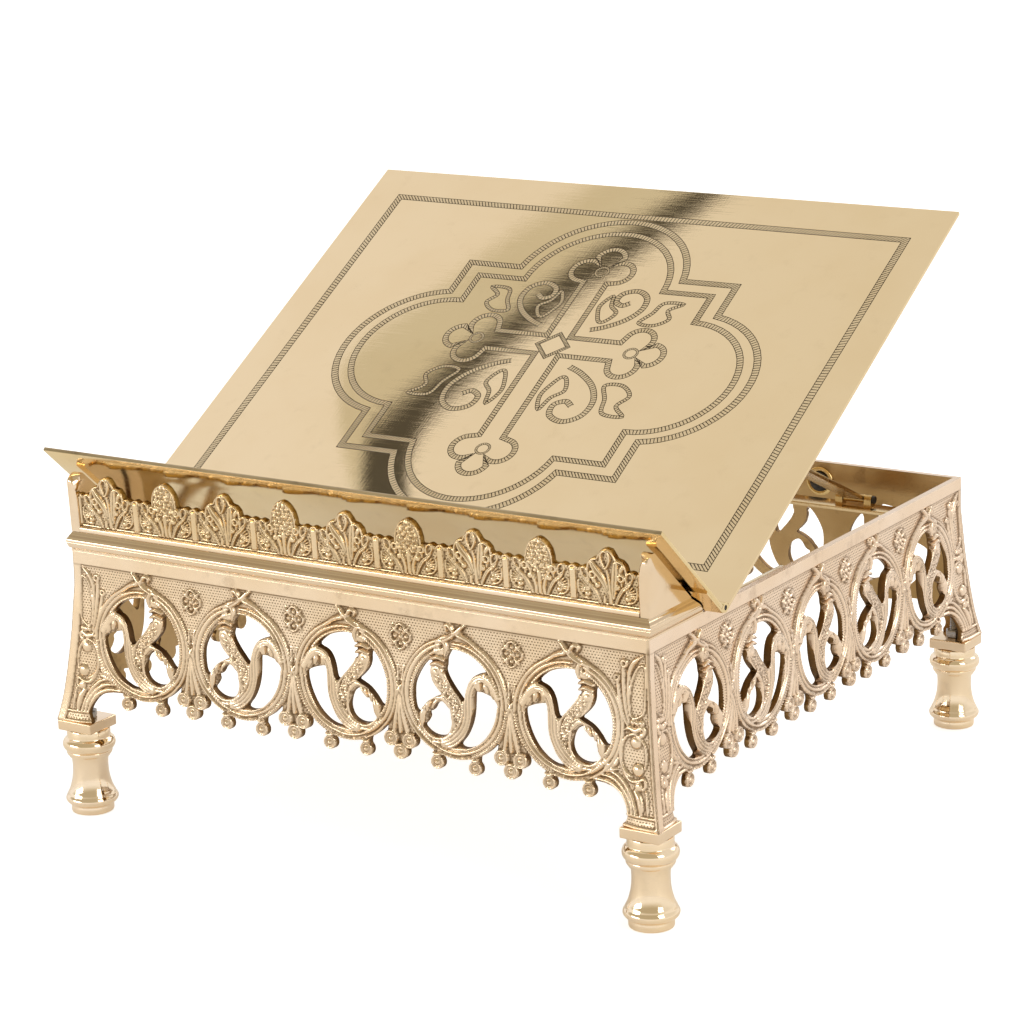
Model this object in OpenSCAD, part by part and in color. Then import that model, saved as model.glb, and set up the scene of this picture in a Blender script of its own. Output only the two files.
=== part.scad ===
// Brass missal stand: a square pierced base on four turned feet, carrying a
// hinged book plate with a leaning front ledge, held up by a folding prop.
// Millimetres, +Z up, the front faces -Y, the origin is on the floor under the
// middle of the base.

/* [Base] */
// Half the width of the square base, measured at its rim
base_half = 152; // [150:0.5:154]
// Height of the rim above the floor
rim_z = 125.4; // [124:0.2:127]
// Thickness of the cast side panels
panel_t = 3.2; // [2.8:0.1:3.6]
// Distance between the centres of two neighbouring roundels
ring_pitch = 56.5; // [55.5:0.25:57]
// Outer radius of a roundel
ring_r = 26.8; // [26:0.1:27]
// Radius of the pierced inside of a roundel
ring_open_r = 20.4; // [19.8:0.1:20.8]
// Height of the roundels' centres
ring_z = 86; // [85.6:0.1:86.6]

/* [Feet] */
// Distance of each foot's axis from the middle of the base, in X and in Y
foot_at = 150; // [149:0.5:151]
// Width of the square pad on top of each foot
pad_w = 19.3; // [18.5:0.1:19.9]
// Height of the underside of the pads, which is the height of the turned feet
pad_z = 40.3; // [40:0.1:41]
// Thickness of the pads
pad_h = 4.9; // [4.5:0.1:5.2]
// Radius of the threaded stud in each foot
stud_r = 2.5; // [2.2:0.1:2.6]

/* [Front] */
// Height of the moulding on the front rim
mould_h = 11.9; // [11.4:0.1:12.4]
// Distance from one cresting ornament to the next
crest_pitch = 32.8; // [32.4:0.1:33]
// Height of the tips of the cresting above the moulding
crest_h = 25.2; // [24:0.1:25.4]
// Thickness of the two end brackets
bracket_t = 5; // [4:0.1:5.5]

/* [Book rest] */
// Half the width of the book plate and of its ledge
plate_half = 161; // [159:0.2:161.6]
// Length of the book plate from the hinge axis to its upper edge
plate_len = 265.8; // [255:0.5:268]
// Thickness of the plate and of the ledge
plate_t = 1.8; // [1.5:0.1:1.9]
// Angle of the plate above the horizontal when it is propped up
tilt = 30; // [28:0.5:31]
// Angle between the plate and the ledge
ledge_angle = 108.5; // [107:0.5:110]
// Length of the ledge from the hinge axis to its upper edge
ledge_len = 70.9; // [66:0.1:71.5]

/* [Prop] */
// Width of each prop arm
arm_w = 11; // [9:0.5:12]
// Thickness of each prop arm
arm_t = 2; // [1.6:0.1:2.2]
// Distance of the prop's inner side from the middle of the stand
arm_x = 101.5; // [95:0.5:102]

/* [Hidden] */
$fn = 64;
B = base_half;
// outward flare of the panels below the rim: [height, offset over the middle,
// offset at the legs]
FLARE = [[rim_z, 0, 0], [110, 0.1, 0.1], [98, 1.1, 1.1], [88, 1.9, 1.9],
         [78, 2.1, 3.0], [68, 2.2, 4.2], [58, 2.2, 5.6], [51, 2.2, 7.0],
         [pad_z + pad_h, 2.2, 8.4]];
// where the flare of the legs begins and ends, as distances from the middle
FLARE_X = [-182, -148, -124, 124, 148, 182];
// hinge axis of the book rest
AY = -103.2;
AZ = rim_z + 2.5;
barrel_r = 2.2;
pin_r = 1.1;
under = barrel_r;                 // the plate's underside, below the axis
mould_z = rim_z + mould_h;
lean = tilt + ledge_angle;        // direction of the ledge, from +Y
NSEG = 9;                         // barrel segments, moving at the ends
seg = 2 * plate_half / NSEG;
// prop pivot on the rear rail, and the cross rod at its upper end
PY = 127;
PZ = 115.6;
rail_z = 112;
rod_s = 110;                      // along the plate from the hinge axis
rod_d = under + 0.6 + 3.6;        // below the hinge plane
RY = AY + rod_s * cos(tilt) + rod_d * sin(tilt);
RZ = AZ + rod_s * sin(tilt) - rod_d * cos(tilt);
prop_len = norm([PY - RY, RZ - PZ]);
prop_a = atan2(RZ - PZ, PY - RY);

// ---- helpers -------------------------------------------------------------
// a drawing in (x, z), extruded along Y from y0 to y1
module xz(y0, y1) translate([0, y1, 0]) rotate([90, 0, 0])
    linear_extrude(y1 - y0) children();
// a drawing in (y, z), extruded along X from x0 to x1
module yz(x0, x1) translate([x0, 0, 0]) rotate([90, 0, 90])
    linear_extrude(x1 - x0) children();
// a cylinder along X
module xcyl(x0, x1, r) translate([x0, 0, 0]) rotate([0, 90, 0])
    cylinder(h = x1 - x0, r = r);
// a frame at the hinge axis whose Y runs up the plate and whose Z is its normal
module on_plate() translate([0, AY, AZ]) rotate([tilt, 0, 0]) children();
// the same for the ledge: Y runs up the ledge, Z points to its outer side
module on_ledge() translate([0, AY, AZ]) rotate([lean, 0, 0]) children();

// ---- panels --------------------------------------------------------------
// scroll inside a roundel, hook at the upper left, loop at the lower right
module scroll2d() {
    // loop
    difference() {
        translate([10.2, -8.2]) circle(r = 10.8);
        translate([10.4, -8]) circle(r = 6.6);
    }
    // stem and hook
    polygon([[-13, 14.8], [-9.5, 15.3], [-6, 13], [-3.6, 8], [-2.2, 2],
             [-1.4, -5], [2, -12], [9, -17.5], [5, -21], [-1, -18.5],
             [-6.4, -12.5], [-8.8, -5], [-8.6, 2], [-9, 7], [-11, 9.4],
             [-14, 8.6], [-18, 2.5], [-21.2, 1], [-20, 6], [-16.6, 12]]);
    // branch and bud
    polygon([[-6, -12], [-3.4, 3], [2, 6], [7, 11.4], [7.6, 14.6], [4.4, 18.6],
             [6, 22], [10, 21.6], [10.8, 17.4], [13.6, 14.4], [11.4, 9],
             [5.4, 3.6], [2, -3], [3, -12]]);
}
module panel2d() {
    difference() {
        union() {
            translate([-180, ring_z]) square([360, rim_z - ring_z]);
            for (k = [-2:2]) translate([k * ring_pitch, ring_z])
                circle(r = ring_r);
            // two drops under each roundel
            for (k = [-2:2], s = [-1, 1])
                translate([k * ring_pitch + s * 9.8, 0]) {
                    translate([-2, 56.7]) square([4, 6]);
                    translate([0, 56.5]) circle(r = 3.3);
                }
            // end bays with the legs
            for (s = [-1, 1]) scale([s, 1]) difference() {
                translate([114, 44]) square([66, ring_z - 44]);
                translate([130.5, 45.5]) circle(r = 14.8);
                translate([112, 40]) square([18.5, 20.3]);
                translate([112, 40]) square([12, 22]);
            }
        }
        for (k = [-2:2]) translate([k * ring_pitch, ring_z]) difference() {
            circle(r = ring_open_r);
            if (k % 2 == 0) scroll2d(); else mirror([1, 0]) scroll2d();
        }
    }
}
// webs, fans and trefoils between the roundels
module fans2d() for (k = [-2:1]) translate([(k + 0.5) * ring_pitch, 0]) {
    polygon([[-4, ring_z + 5], [4, ring_z + 5], [6.4, 66.4], [6.4, 63.2],
             [3.2, 59.8], [-3.2, 59.8], [-6.4, 63.2], [-6.4, 66.4]]);
    translate([-4.8, 63.9]) circle(r = 3.6);
    translate([4.8, 63.9]) circle(r = 3.6);
    translate([0, 58.5]) circle(r = 3.7);
}
// the flared shell of a panel: a grid of points on its outer and inner skin
NX = len(FLARE_X);
NZ = len(FLARE);
function skin(i, j, t) = [FLARE_X[i],
    t - B - (i == 2 || i == 3 ? FLARE[j][1] : FLARE[j][2]), FLARE[j][0]];
function at(i, j, b) = b * NX * NZ + i * NZ + j;
module flare_shell() polyhedron(
    points = [for (b = [0, 1], i = [0:NX - 1], j = [0:NZ - 1])
              skin(i, j, b * panel_t)],
    faces = concat(
        [for (i = [0:NX - 2], j = [0:NZ - 2], h = [0, 1]) h == 0
            ? [at(i, j, 0), at(i + 1, j, 0), at(i + 1, j + 1, 0)]
            : [at(i, j, 0), at(i + 1, j + 1, 0), at(i, j + 1, 0)]],
        [for (i = [0:NX - 2], j = [0:NZ - 2], h = [0, 1]) h == 0
            ? [at(i + 1, j + 1, 1), at(i + 1, j, 1), at(i, j, 1)]
            : [at(i, j + 1, 1), at(i + 1, j + 1, 1), at(i, j, 1)]],
        [for (i = [0:NX - 2])
            [at(i, 0, 0), at(i, 0, 1), at(i + 1, 0, 1), at(i + 1, 0, 0)]],
        [for (i = [0:NX - 2], h = [0, 1]) h == 0
            ? [at(i, NZ - 1, 0), at(i + 1, NZ - 1, 0), at(i + 1, NZ - 1, 1)]
            : [at(i, NZ - 1, 0), at(i + 1, NZ - 1, 1), at(i, NZ - 1, 1)]],
        [for (j = [0:NZ - 2])
            [at(0, j, 0), at(0, j + 1, 0), at(0, j + 1, 1), at(0, j, 1)]],
        [for (j = [0:NZ - 2])
            [at(NX - 1, j, 1), at(NX - 1, j + 1, 1), at(NX - 1, j + 1, 0),
             at(NX - 1, j, 0)]]));
module panel() intersection() {
    union() {
        xz(-B - 12, -B + 12) panel2d();
        xz(-B - 12, -B + 12) fans2d();
    }
    flare_shell();
    // mitre at both ends
    linear_extrude(300) polygon([[0, 0], [-180, -180], [180, -180]]);
}
module front_panel() color([0.80, 0.66, 0.45]) panel();
module right_panel() color([0.80, 0.66, 0.45]) rotate([0, 0, 90]) panel();
module back_panel() color([0.62, 0.46, 0.24]) difference() {
    rotate([0, 0, 180]) panel();
    for (s = [-1, 1]) translate([s * 77, B - panel_t - 0.1, 115.6])
        rotate([-90, 0, 0]) cylinder(h = 2.4, r = 2.05);
}
module left_panel() color([0.80, 0.66, 0.45]) rotate([0, 0, -90]) panel();

// ---- feet ----------------------------------------------------------------
module at_feet() for (sx = [-1, 1], sy = [-1, 1])
    translate([sx * foot_at, sy * foot_at, 0]) children();
module leg_pads() color([0.88, 0.76, 0.58])
    for (sx = [-1, 1], sy = [-1, 1])
        difference() {
            translate([sx * (foot_at + 0.9) - pad_w / 2,
                       sy * (foot_at + 0.9) - pad_w / 2, pad_z])
                cube([pad_w, pad_w, pad_h]);
            translate([sx * foot_at, sy * foot_at, pad_z - 1])
                cylinder(h = pad_h + 2, r = stud_r + 0.1);
        }
module turned_feet() color([0.86, 0.68, 0.36]) at_feet() difference() {
    rotate_extrude() polygon([[0, 0], [9.9, 0], [9.9, 3.4], [10.9, 4.2],
        [12, 5.4], [12.3, 6.4], [11.9, 7.8], [11.2, 9], [10.4, 10.5],
        [9.3, 14], [8.5, 18], [8.3, 21], [8.4, 24], [8.7, 26.5], [9.6, 27.2],
        [10.3, 28.5], [10.6, 29.5], [11.8, 31], [12.3, 33], [12, 34.6],
        [11, 35.8], [10.1, 36.5], [10.1, pad_z], [0, pad_z]]);
    translate([0, 0, 20]) cylinder(h = 30, r = stud_r + 0.05);
}
module foot_studs() color([0.62, 0.62, 0.64]) at_feet()
    translate([0, 0, 20.3]) cylinder(h = 35, r = stud_r);
module foot_nuts() color([0.55, 0.55, 0.57]) at_feet()
    translate([0, 0, pad_z + pad_h]) difference() {
        cylinder(h = 3.6, r = 4.6, $fn = 6);
        translate([0, 0, -1]) cylinder(h = 6, r = stud_r + 0.05);
    }

// ---- moulding, cresting, brackets ------------------------------------------
// half-space on the front side of the bracket slope, a little off the ledge
slope_gap = 1.5;
module before_slope() on_ledge()
    translate([-200, -60, barrel_r + slope_gap]) cube([400, 240, 200]);
// profile of the moulding, outward offset from the rim and height over it
MOULD = [[-6.5, 0], [0, 0], [0, 0.6], [0.3, 1.2], [0.65, 1.7], [1.1, 2.6],
         [1.45, 3.6], [1.65, 4.5], [1.7, 5.1], [1.5, 5.6], [1.05, 6.2],
         [0.45, 7.2], [-0.15, 8.1], [-0.65, 9], [-6.5, 9]];
fillet_z = rim_z + 9;
module front_moulding() color([0.88, 0.72, 0.45]) {
    intersection() {
        yz(-170, 170) polygon([for (p = MOULD) [-(B + p[0]), rim_z + p[1]]]);
        linear_extrude(300) polygon([[0, 0], [-180, -180], [180, -180]]);
    }
    // fillet that carries the cresting
    translate([-crest_x, -B + 0.75, fillet_z - 1])
        cube([2 * crest_x, 4.6, mould_z - fillet_z + 1]);
}
module return_right() intersection() {
    translate([0, -10, 0]) xz(-170, 0)
        polygon([for (p = MOULD) [B + p[0], rim_z + p[1]]]);
    linear_extrude(300) polygon([[0, 0], [180, -180], [180, 0]]);
    before_slope();
}
module right_return() color([0.80, 0.60, 0.34]) return_right();
module left_return() color([0.80, 0.60, 0.34]) mirror([1, 0, 0]) return_right();

// outline of one cresting ornament over the moulding, round its own centre
module palmette2d() polygon([[-7, 1], [-9.4, 10], [-9.8, 14.6], [-9, 17.4],
    [-7.2, 19.3], [-4.4, 19.9], [-3.8, 21.4], [-2.2, 23.6], [0, crest_h - 0.9],
    [2.2, 23.6], [3.8, 21.4], [4.4, 19.9], [7.2, 19.3], [9, 17.4], [9.8, 14.6],
    [9.4, 10], [7, 1]]);
module cone2d() polygon([[-4.6, 1], [-6.6, 9.4], [-6.9, 13], [-6.7, 17.2],
    [-5.8, 20.4], [-4, 22.9], [-1.8, 24.6], [0, crest_h], [1.8, 24.6],
    [4, 22.9], [5.8, 20.4], [6.7, 17.2], [6.9, 13], [6.6, 9.4], [4.6, 1]]);
crest_x = B - bracket_t - 0.4;
crest_lean = 4;                   // degrees the cresting leans to the front
module cresting() color([0.84, 0.68, 0.44])
    translate([0, -B + 1.7, mould_z]) rotate([crest_lean, 0, 0]) {
        // backing strip with its scalloped edge
        xz(1.9, 4.1) intersection() {
            union() {
                translate([-160, 0]) square([320, 14.4]);
                for (k = [-4:4]) translate([k * crest_pitch, 0])
                    if (k % 2 == 0) palmette2d(); else cone2d();
                for (k = [-5:4], j = [-1:1])
                    translate([(k + 0.5) * crest_pitch + j * 5, 12.9])
                        circle(r = 2.5);
            }
            translate([-crest_x, 0]) square([2 * crest_x, 60]);
        }
        // raised ornaments and the bars between them
        xz(0, 1.9) intersection() {
            union() {
                for (k = [-4:4]) translate([k * crest_pitch, 0])
                    if (k % 2 == 0) palmette2d(); else cone2d();
                for (k = [-4:3])
                    translate([(k + 0.5) * crest_pitch - 1.6, 0.6])
                        square([3.2, 14]);
            }
            translate([-crest_x, 0]) square([2 * crest_x, 60]);
        }
    }
// bracket: a cheek that leans a little to the front and follows the ledge, and
// whose front face runs to a point at the outer side
module bracket() intersection() {
    yz(-B, -B + bracket_t) polygon([[-B + 0.7, fillet_z + 0.05],
        [-B - 0.75, mould_z + 20.5], [-B + 0.1, mould_z + 22.6],
        [-B + 1.8, mould_z + 23.6], [-B + 4.8, mould_z + 24],
        [-100, mould_z + 24], [-100, fillet_z + 0.05]]);
    union() {
        xz(-B + 3, -90) polygon([[-B, 100], [-B, 200], [-B + 6, 200], [-B + 6, 100]]);
        xz(-B - 3, -B + 3) polygon([[-B, 100], [-B, mould_z + 24],
            [-B + 1.6, mould_z + 24], [-B + 3.6, mould_z + 20.5],
            [-B + 4.7, mould_z + 16], [-B + bracket_t, mould_z + 13],
            [-B + bracket_t, 100]]);
    }
    before_slope();
}
module left_bracket() color([0.90, 0.80, 0.64]) bracket();
module right_bracket() color([0.90, 0.80, 0.64]) mirror([1, 0, 0]) bracket();

// ---- hinge under the book rest -----------------------------------------------
in_half = B - panel_t;            // inside of the panels at the rim
module hinge_rail() color([0.66, 0.50, 0.27]) difference() {
    translate([-in_half, AY - 1, 108]) cube([2 * in_half, 3, AZ - 3.4 - 108]);
    for (i = [-2:2]) translate([i * 54, AY - 2, 116])
        rotate([-90, 0, 0]) cylinder(h = 6, r = 1.55);
}
module rail_arm() translate([in_half - 4.2, AY + 2, 110])
    cube([3, 78, 14.4]);
module right_rail_arm() color([0.80, 0.64, 0.44]) rail_arm();
module left_rail_arm() color([0.80, 0.64, 0.44]) mirror([1, 0, 0]) rail_arm();
// barrel segments: even ones turn with the plate, odd ones stay
module barrel(odd) for (i = [0:NSEG - 1]) if (i % 2 == odd)
    xcyl(-plate_half + i * seg + (i == 0 ? 0 : 0.15),
         -plate_half + (i + 1) * seg - (i == NSEG - 1 ? 0 : 0.15), barrel_r);
module barrel_box(odd, y0, z0, dy, dz)
    for (i = [0:NSEG - 1]) if (i % 2 == odd)
        translate([-plate_half + i * seg + (i == 0 ? 0 : 0.15), y0, z0])
            cube([seg - (i == 0 || i == NSEG - 1 ? 0.15 : 0.3), dy, dz]);
module fixed_leaf() color([0.78, 0.62, 0.36]) translate([0, AY, AZ]) difference() {
    union() {
        barrel(1);
        barrel_box(1, -barrel_r, -3, 1.2, 3);
        translate([-plate_half + seg + 0.15, -barrel_r, -18])
            cube([2 * plate_half - 2 * seg - 0.3, 1.2, 15.3]);
    }
    xcyl(-170, 170, pin_r + 0.05);
    for (i = [-2:2]) translate([i * 54, -4, 116 - AZ])
        rotate([-90, 0, 0]) cylinder(h = 6, r = 1.6);
}
module leaf_screws() color([0.55, 0.45, 0.28])
    for (i = [-2:2]) translate([i * 54, AY - barrel_r, 116])
        rotate([-90, 0, 0]) {
            translate([0, 0, -1.1]) cylinder(h = 1.1, r = 2.8);
            translate([0, 0, -0.5]) cylinder(h = 4.4, r = 1.5);
        }
module hinge_pin() color([0.35, 0.34, 0.33]) translate([0, AY, AZ])
    xcyl(-plate_half + 0.2, plate_half - 0.2, pin_r);

// ---- book rest ------------------------------------------------------------------
// section through a moving segment: barrel, neck to the ledge, neck to the plate
module leaf2d() difference() {
    union() {
        circle(r = barrel_r);
        rotate(lean) polygon([[0, 1.4], [0.6, 3], [2.5, 3], [2.6, 0.5], [1.2, 0.5]]);
        rotate(tilt) polygon([[1, -0.5], [2.6, -0.5], [2.6, -2.1], [0.4, -2.1]]);
    }
    circle(r = pin_r + 0.05);
}
module moving_leaf() color([0.80, 0.63, 0.33]) translate([0, AY, AZ]) {
    for (i = [0:2:NSEG - 1])
        yz(-plate_half + i * seg + (i == 0 ? 0.05 : 0.15),
           -plate_half + (i + 1) * seg - (i == NSEG - 1 ? 0.05 : 0.15)) leaf2d();
    // leaf on the outer face of the ledge
    yz(-plate_half, plate_half) rotate(lean) translate([1.6, barrel_r])
        square([17.4, 1]);
}
module book_plate() color([0.86, 0.74, 0.55]) on_plate()
    translate([-plate_half, 2.6, -under])
        cube([2 * plate_half, plate_len - 2.6, plate_t]);
module ledge() color([0.82, 0.64, 0.38]) on_ledge()
    translate([-plate_half, 2.6, under - plate_t])
        cube([2 * plate_half, ledge_len - 2.6, plate_t]);

// low bars under the plate that the prop's cross rod bears against
module prop_cleats() color([0.62, 0.47, 0.25]) on_plate()
    for (s = [-1, 1]) translate([s * 62 - 14, rod_s - 9, -under - 1.8])
        cube([28, 6, 1.8]);

// ---- prop -------------------------------------------------------------------------
module prop_rail() color([0.84, 0.64, 0.30])
    translate([-in_half, 120.6, rail_z - 2]) cube([2 * in_half, 12, 2]);
lug_w = 3.7;
module at_arms() for (s = [-1, 1]) scale([s, 1, 1]) children();
module prop_lugs() color([0.60, 0.48, 0.28]) for (m = [0, 1])
    mirror([m, 0, 0]) translate([0, PY, PZ]) difference() {
        for (x = [arm_x - 0.3 - lug_w, arm_x + arm_w + 0.3]) {
            xcyl(x, x + lug_w, 2.2);
            translate([x, -2.2, rail_z - PZ]) cube([lug_w, 4.4, PZ - rail_z]);
        }
        xcyl(arm_x - 10, arm_x + arm_w + 10, pin_r + 0.05);
    }
module prop_pins() color([0.22, 0.21, 0.20]) for (m = [0, 1])
    mirror([m, 0, 0]) translate([0, PY, PZ]) {
        xcyl(arm_x - 0.3 - lug_w - 0.4, arm_x + arm_w + 0.3 + lug_w + 0.4, pin_r);
        xcyl(arm_x + arm_w + 0.3 + lug_w + 0.1, arm_x + arm_w + 1.6 + lug_w, 1.9);
    }
// a frame at the prop pivot whose Y runs up the arm
module on_prop() translate([0, PY, PZ]) rotate([180 - prop_a, 0, 0]) children();
module prop_arm() on_prop() difference() {
    union() {
        xcyl(arm_x, arm_x + arm_w, 2.2);
        translate([arm_x, 1, -arm_t / 2]) cube([arm_w, prop_len - 3, arm_t]);
        translate([0, prop_len, 0]) xcyl(arm_x, arm_x + arm_w, 3.6);
    }
    xcyl(arm_x - 1, arm_x + arm_w + 1, pin_r + 0.05);
    translate([0, prop_len, 0]) xcyl(arm_x - 1, arm_x + arm_w + 1, 2.05);
}
module right_prop_arm() color([0.52, 0.38, 0.20]) prop_arm();
module left_prop_arm() color([0.52, 0.38, 0.20]) mirror([1, 0, 0]) prop_arm();
module prop_rod() color([0.78, 0.60, 0.30]) on_prop() translate([0, prop_len, 0]) {
    xcyl(-arm_x - arm_w - 1.6, arm_x + arm_w + 1.6, 2);
    for (s = [-1, 1]) translate([s * (arm_x + arm_w + 1.3), 0, 0])
        xcyl(-0.9, 0.9, 3);
}
module buffer_washers() color([0.86, 0.68, 0.34])
    for (s = [-1, 1]) translate([s * 77, B - panel_t - 1.2, 115.6])
        rotate([-90, 0, 0]) difference() {
            cylinder(h = 1.2, r = 7.3);
            translate([0, 0, -1]) cylinder(h = 4, r = 2.1);
        }
module buffer_screws() color([0.20, 0.19, 0.18])
    for (s = [-1, 1]) translate([s * 77, B - panel_t - 1.2, 115.6])
        rotate([-90, 0, 0]) {
            translate([0, 0, -2.6]) cylinder(h = 2.6, r = 5);
            translate([0, 0, -1]) cylinder(h = 4.4, r = 2);
        }

front_panel();
back_panel();
left_panel();
right_panel();
leg_pads();
turned_feet();
foot_studs();
foot_nuts();
front_moulding();
left_return();
right_return();
cresting();
left_bracket();
right_bracket();
hinge_rail();
left_rail_arm();
right_rail_arm();
fixed_leaf();
leaf_screws();
hinge_pin();
moving_leaf();
book_plate();
ledge();
prop_cleats();
prop_rail();
prop_lugs();
prop_pins();
left_prop_arm();
right_prop_arm();
prop_rod();
buffer_washers();
buffer_screws();
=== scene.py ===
import bpy
import math
import numpy as np
from mathutils import Matrix, Vector


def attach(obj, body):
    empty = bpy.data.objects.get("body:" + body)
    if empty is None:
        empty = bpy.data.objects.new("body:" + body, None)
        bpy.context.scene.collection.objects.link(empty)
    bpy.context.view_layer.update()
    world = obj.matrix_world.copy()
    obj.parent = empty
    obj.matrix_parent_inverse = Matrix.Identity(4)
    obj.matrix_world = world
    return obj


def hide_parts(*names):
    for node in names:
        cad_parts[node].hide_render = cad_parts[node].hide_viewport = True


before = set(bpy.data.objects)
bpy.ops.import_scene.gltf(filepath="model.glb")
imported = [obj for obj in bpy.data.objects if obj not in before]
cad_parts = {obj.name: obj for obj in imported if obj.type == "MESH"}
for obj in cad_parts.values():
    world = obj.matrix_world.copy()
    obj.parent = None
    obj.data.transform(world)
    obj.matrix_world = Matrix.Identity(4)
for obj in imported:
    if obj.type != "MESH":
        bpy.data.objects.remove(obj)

MM = 0.001
B = 152.0
RIM = 125.4
T = 3.2
RZ = 86.0
PITCH = 56.5
AY, AZ = -103.2, 127.9
TILT = math.radians(30.0)
LEAN = math.radians(138.5)
COL = bpy.context.scene.collection


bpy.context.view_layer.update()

# ---------------------------------------------------------------- materials


def nodes_of(name):
    m = bpy.data.materials.new(name)
    m.use_nodes = True
    nt = m.node_tree
    nt.nodes.clear()
    out = nt.nodes.new("ShaderNodeOutputMaterial")
    bs = nt.nodes.new("ShaderNodeBsdfPrincipled")
    nt.links.new(bs.outputs[0], out.inputs[0])
    return m, nt, bs


class Tree:
    """Small helper to write node trees as expressions."""

    def __init__(self, nt):
        self.nt = nt

    def put(self, node, i, v):
        if isinstance(v, bpy.types.NodeSocket):
            self.nt.links.new(v, node.inputs[i])
        elif v is not None:
            node.inputs[i].default_value = v

    def math(self, op, a, b=None, c=None, clamp=False):
        n = self.nt.nodes.new("ShaderNodeMath")
        n.operation = op
        n.use_clamp = clamp
        for i, v in enumerate((a, b, c)):
            self.put(n, i, v)
        return n.outputs[0]

    def mix(self, f, a, b):
        n = self.nt.nodes.new("ShaderNodeMix")
        n.data_type = "RGBA"
        self.put(n, 0, f)
        for i, v in ((6, a), (7, b)):
            if isinstance(v, bpy.types.NodeSocket):
                self.nt.links.new(v, n.inputs[i])
            else:
                n.inputs[i].default_value = (v[0], v[1], v[2], 1)
        return n.outputs[2]

    def attr(self, name):
        n = self.nt.nodes.new("ShaderNodeAttribute")
        n.attribute_name = name
        return n.outputs["Fac"]

    def coords(self):
        n = self.nt.nodes.new("ShaderNodeTexCoord")
        return n.outputs["Object"]

    def scaled(self, vec, s):
        n = self.nt.nodes.new("ShaderNodeVectorMath")
        n.operation = "MULTIPLY"
        self.nt.links.new(vec, n.inputs[0])
        n.inputs[1].default_value = s
        return n.outputs[0]

    def split(self, vec):
        n = self.nt.nodes.new("ShaderNodeSeparateXYZ")
        self.nt.links.new(vec, n.inputs[0])
        return n.outputs

    def noise(self, vec, scale, detail=3.0, rough=0.55, dist=0.0):
        n = self.nt.nodes.new("ShaderNodeTexNoise")
        self.nt.links.new(vec, n.inputs["Vector"])
        n.inputs["Scale"].default_value = scale
        n.inputs["Detail"].default_value = detail
        n.inputs["Roughness"].default_value = rough
        n.inputs["Distortion"].default_value = dist
        return n.outputs["Fac"]

    def voronoi(self, vec, scale):
        n = self.nt.nodes.new("ShaderNodeTexVoronoi")
        self.nt.links.new(vec, n.inputs["Vector"])
        n.inputs["Scale"].default_value = scale
        return n.outputs["Distance"]

    def ramp(self, v, lo, hi, a=0.0, b=1.0):
        n = self.nt.nodes.new("ShaderNodeMapRange")
        n.interpolation_type = "SMOOTHSTEP"
        self.nt.links.new(v, n.inputs[0])
        n.inputs[1].default_value = lo
        n.inputs[2].default_value = hi
        n.inputs[3].default_value = a
        n.inputs[4].default_value = b
        return n.outputs[0]

    def bump(self, height, dist, strength=1.0, after=None):
        n = self.nt.nodes.new("ShaderNodeBump")
        n.inputs["Strength"].default_value = strength
        n.inputs["Distance"].default_value = dist
        self.nt.links.new(height, n.inputs["Height"])
        if after is not None:
            self.nt.links.new(after, n.inputs["Normal"])
        return n.outputs[0]


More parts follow.
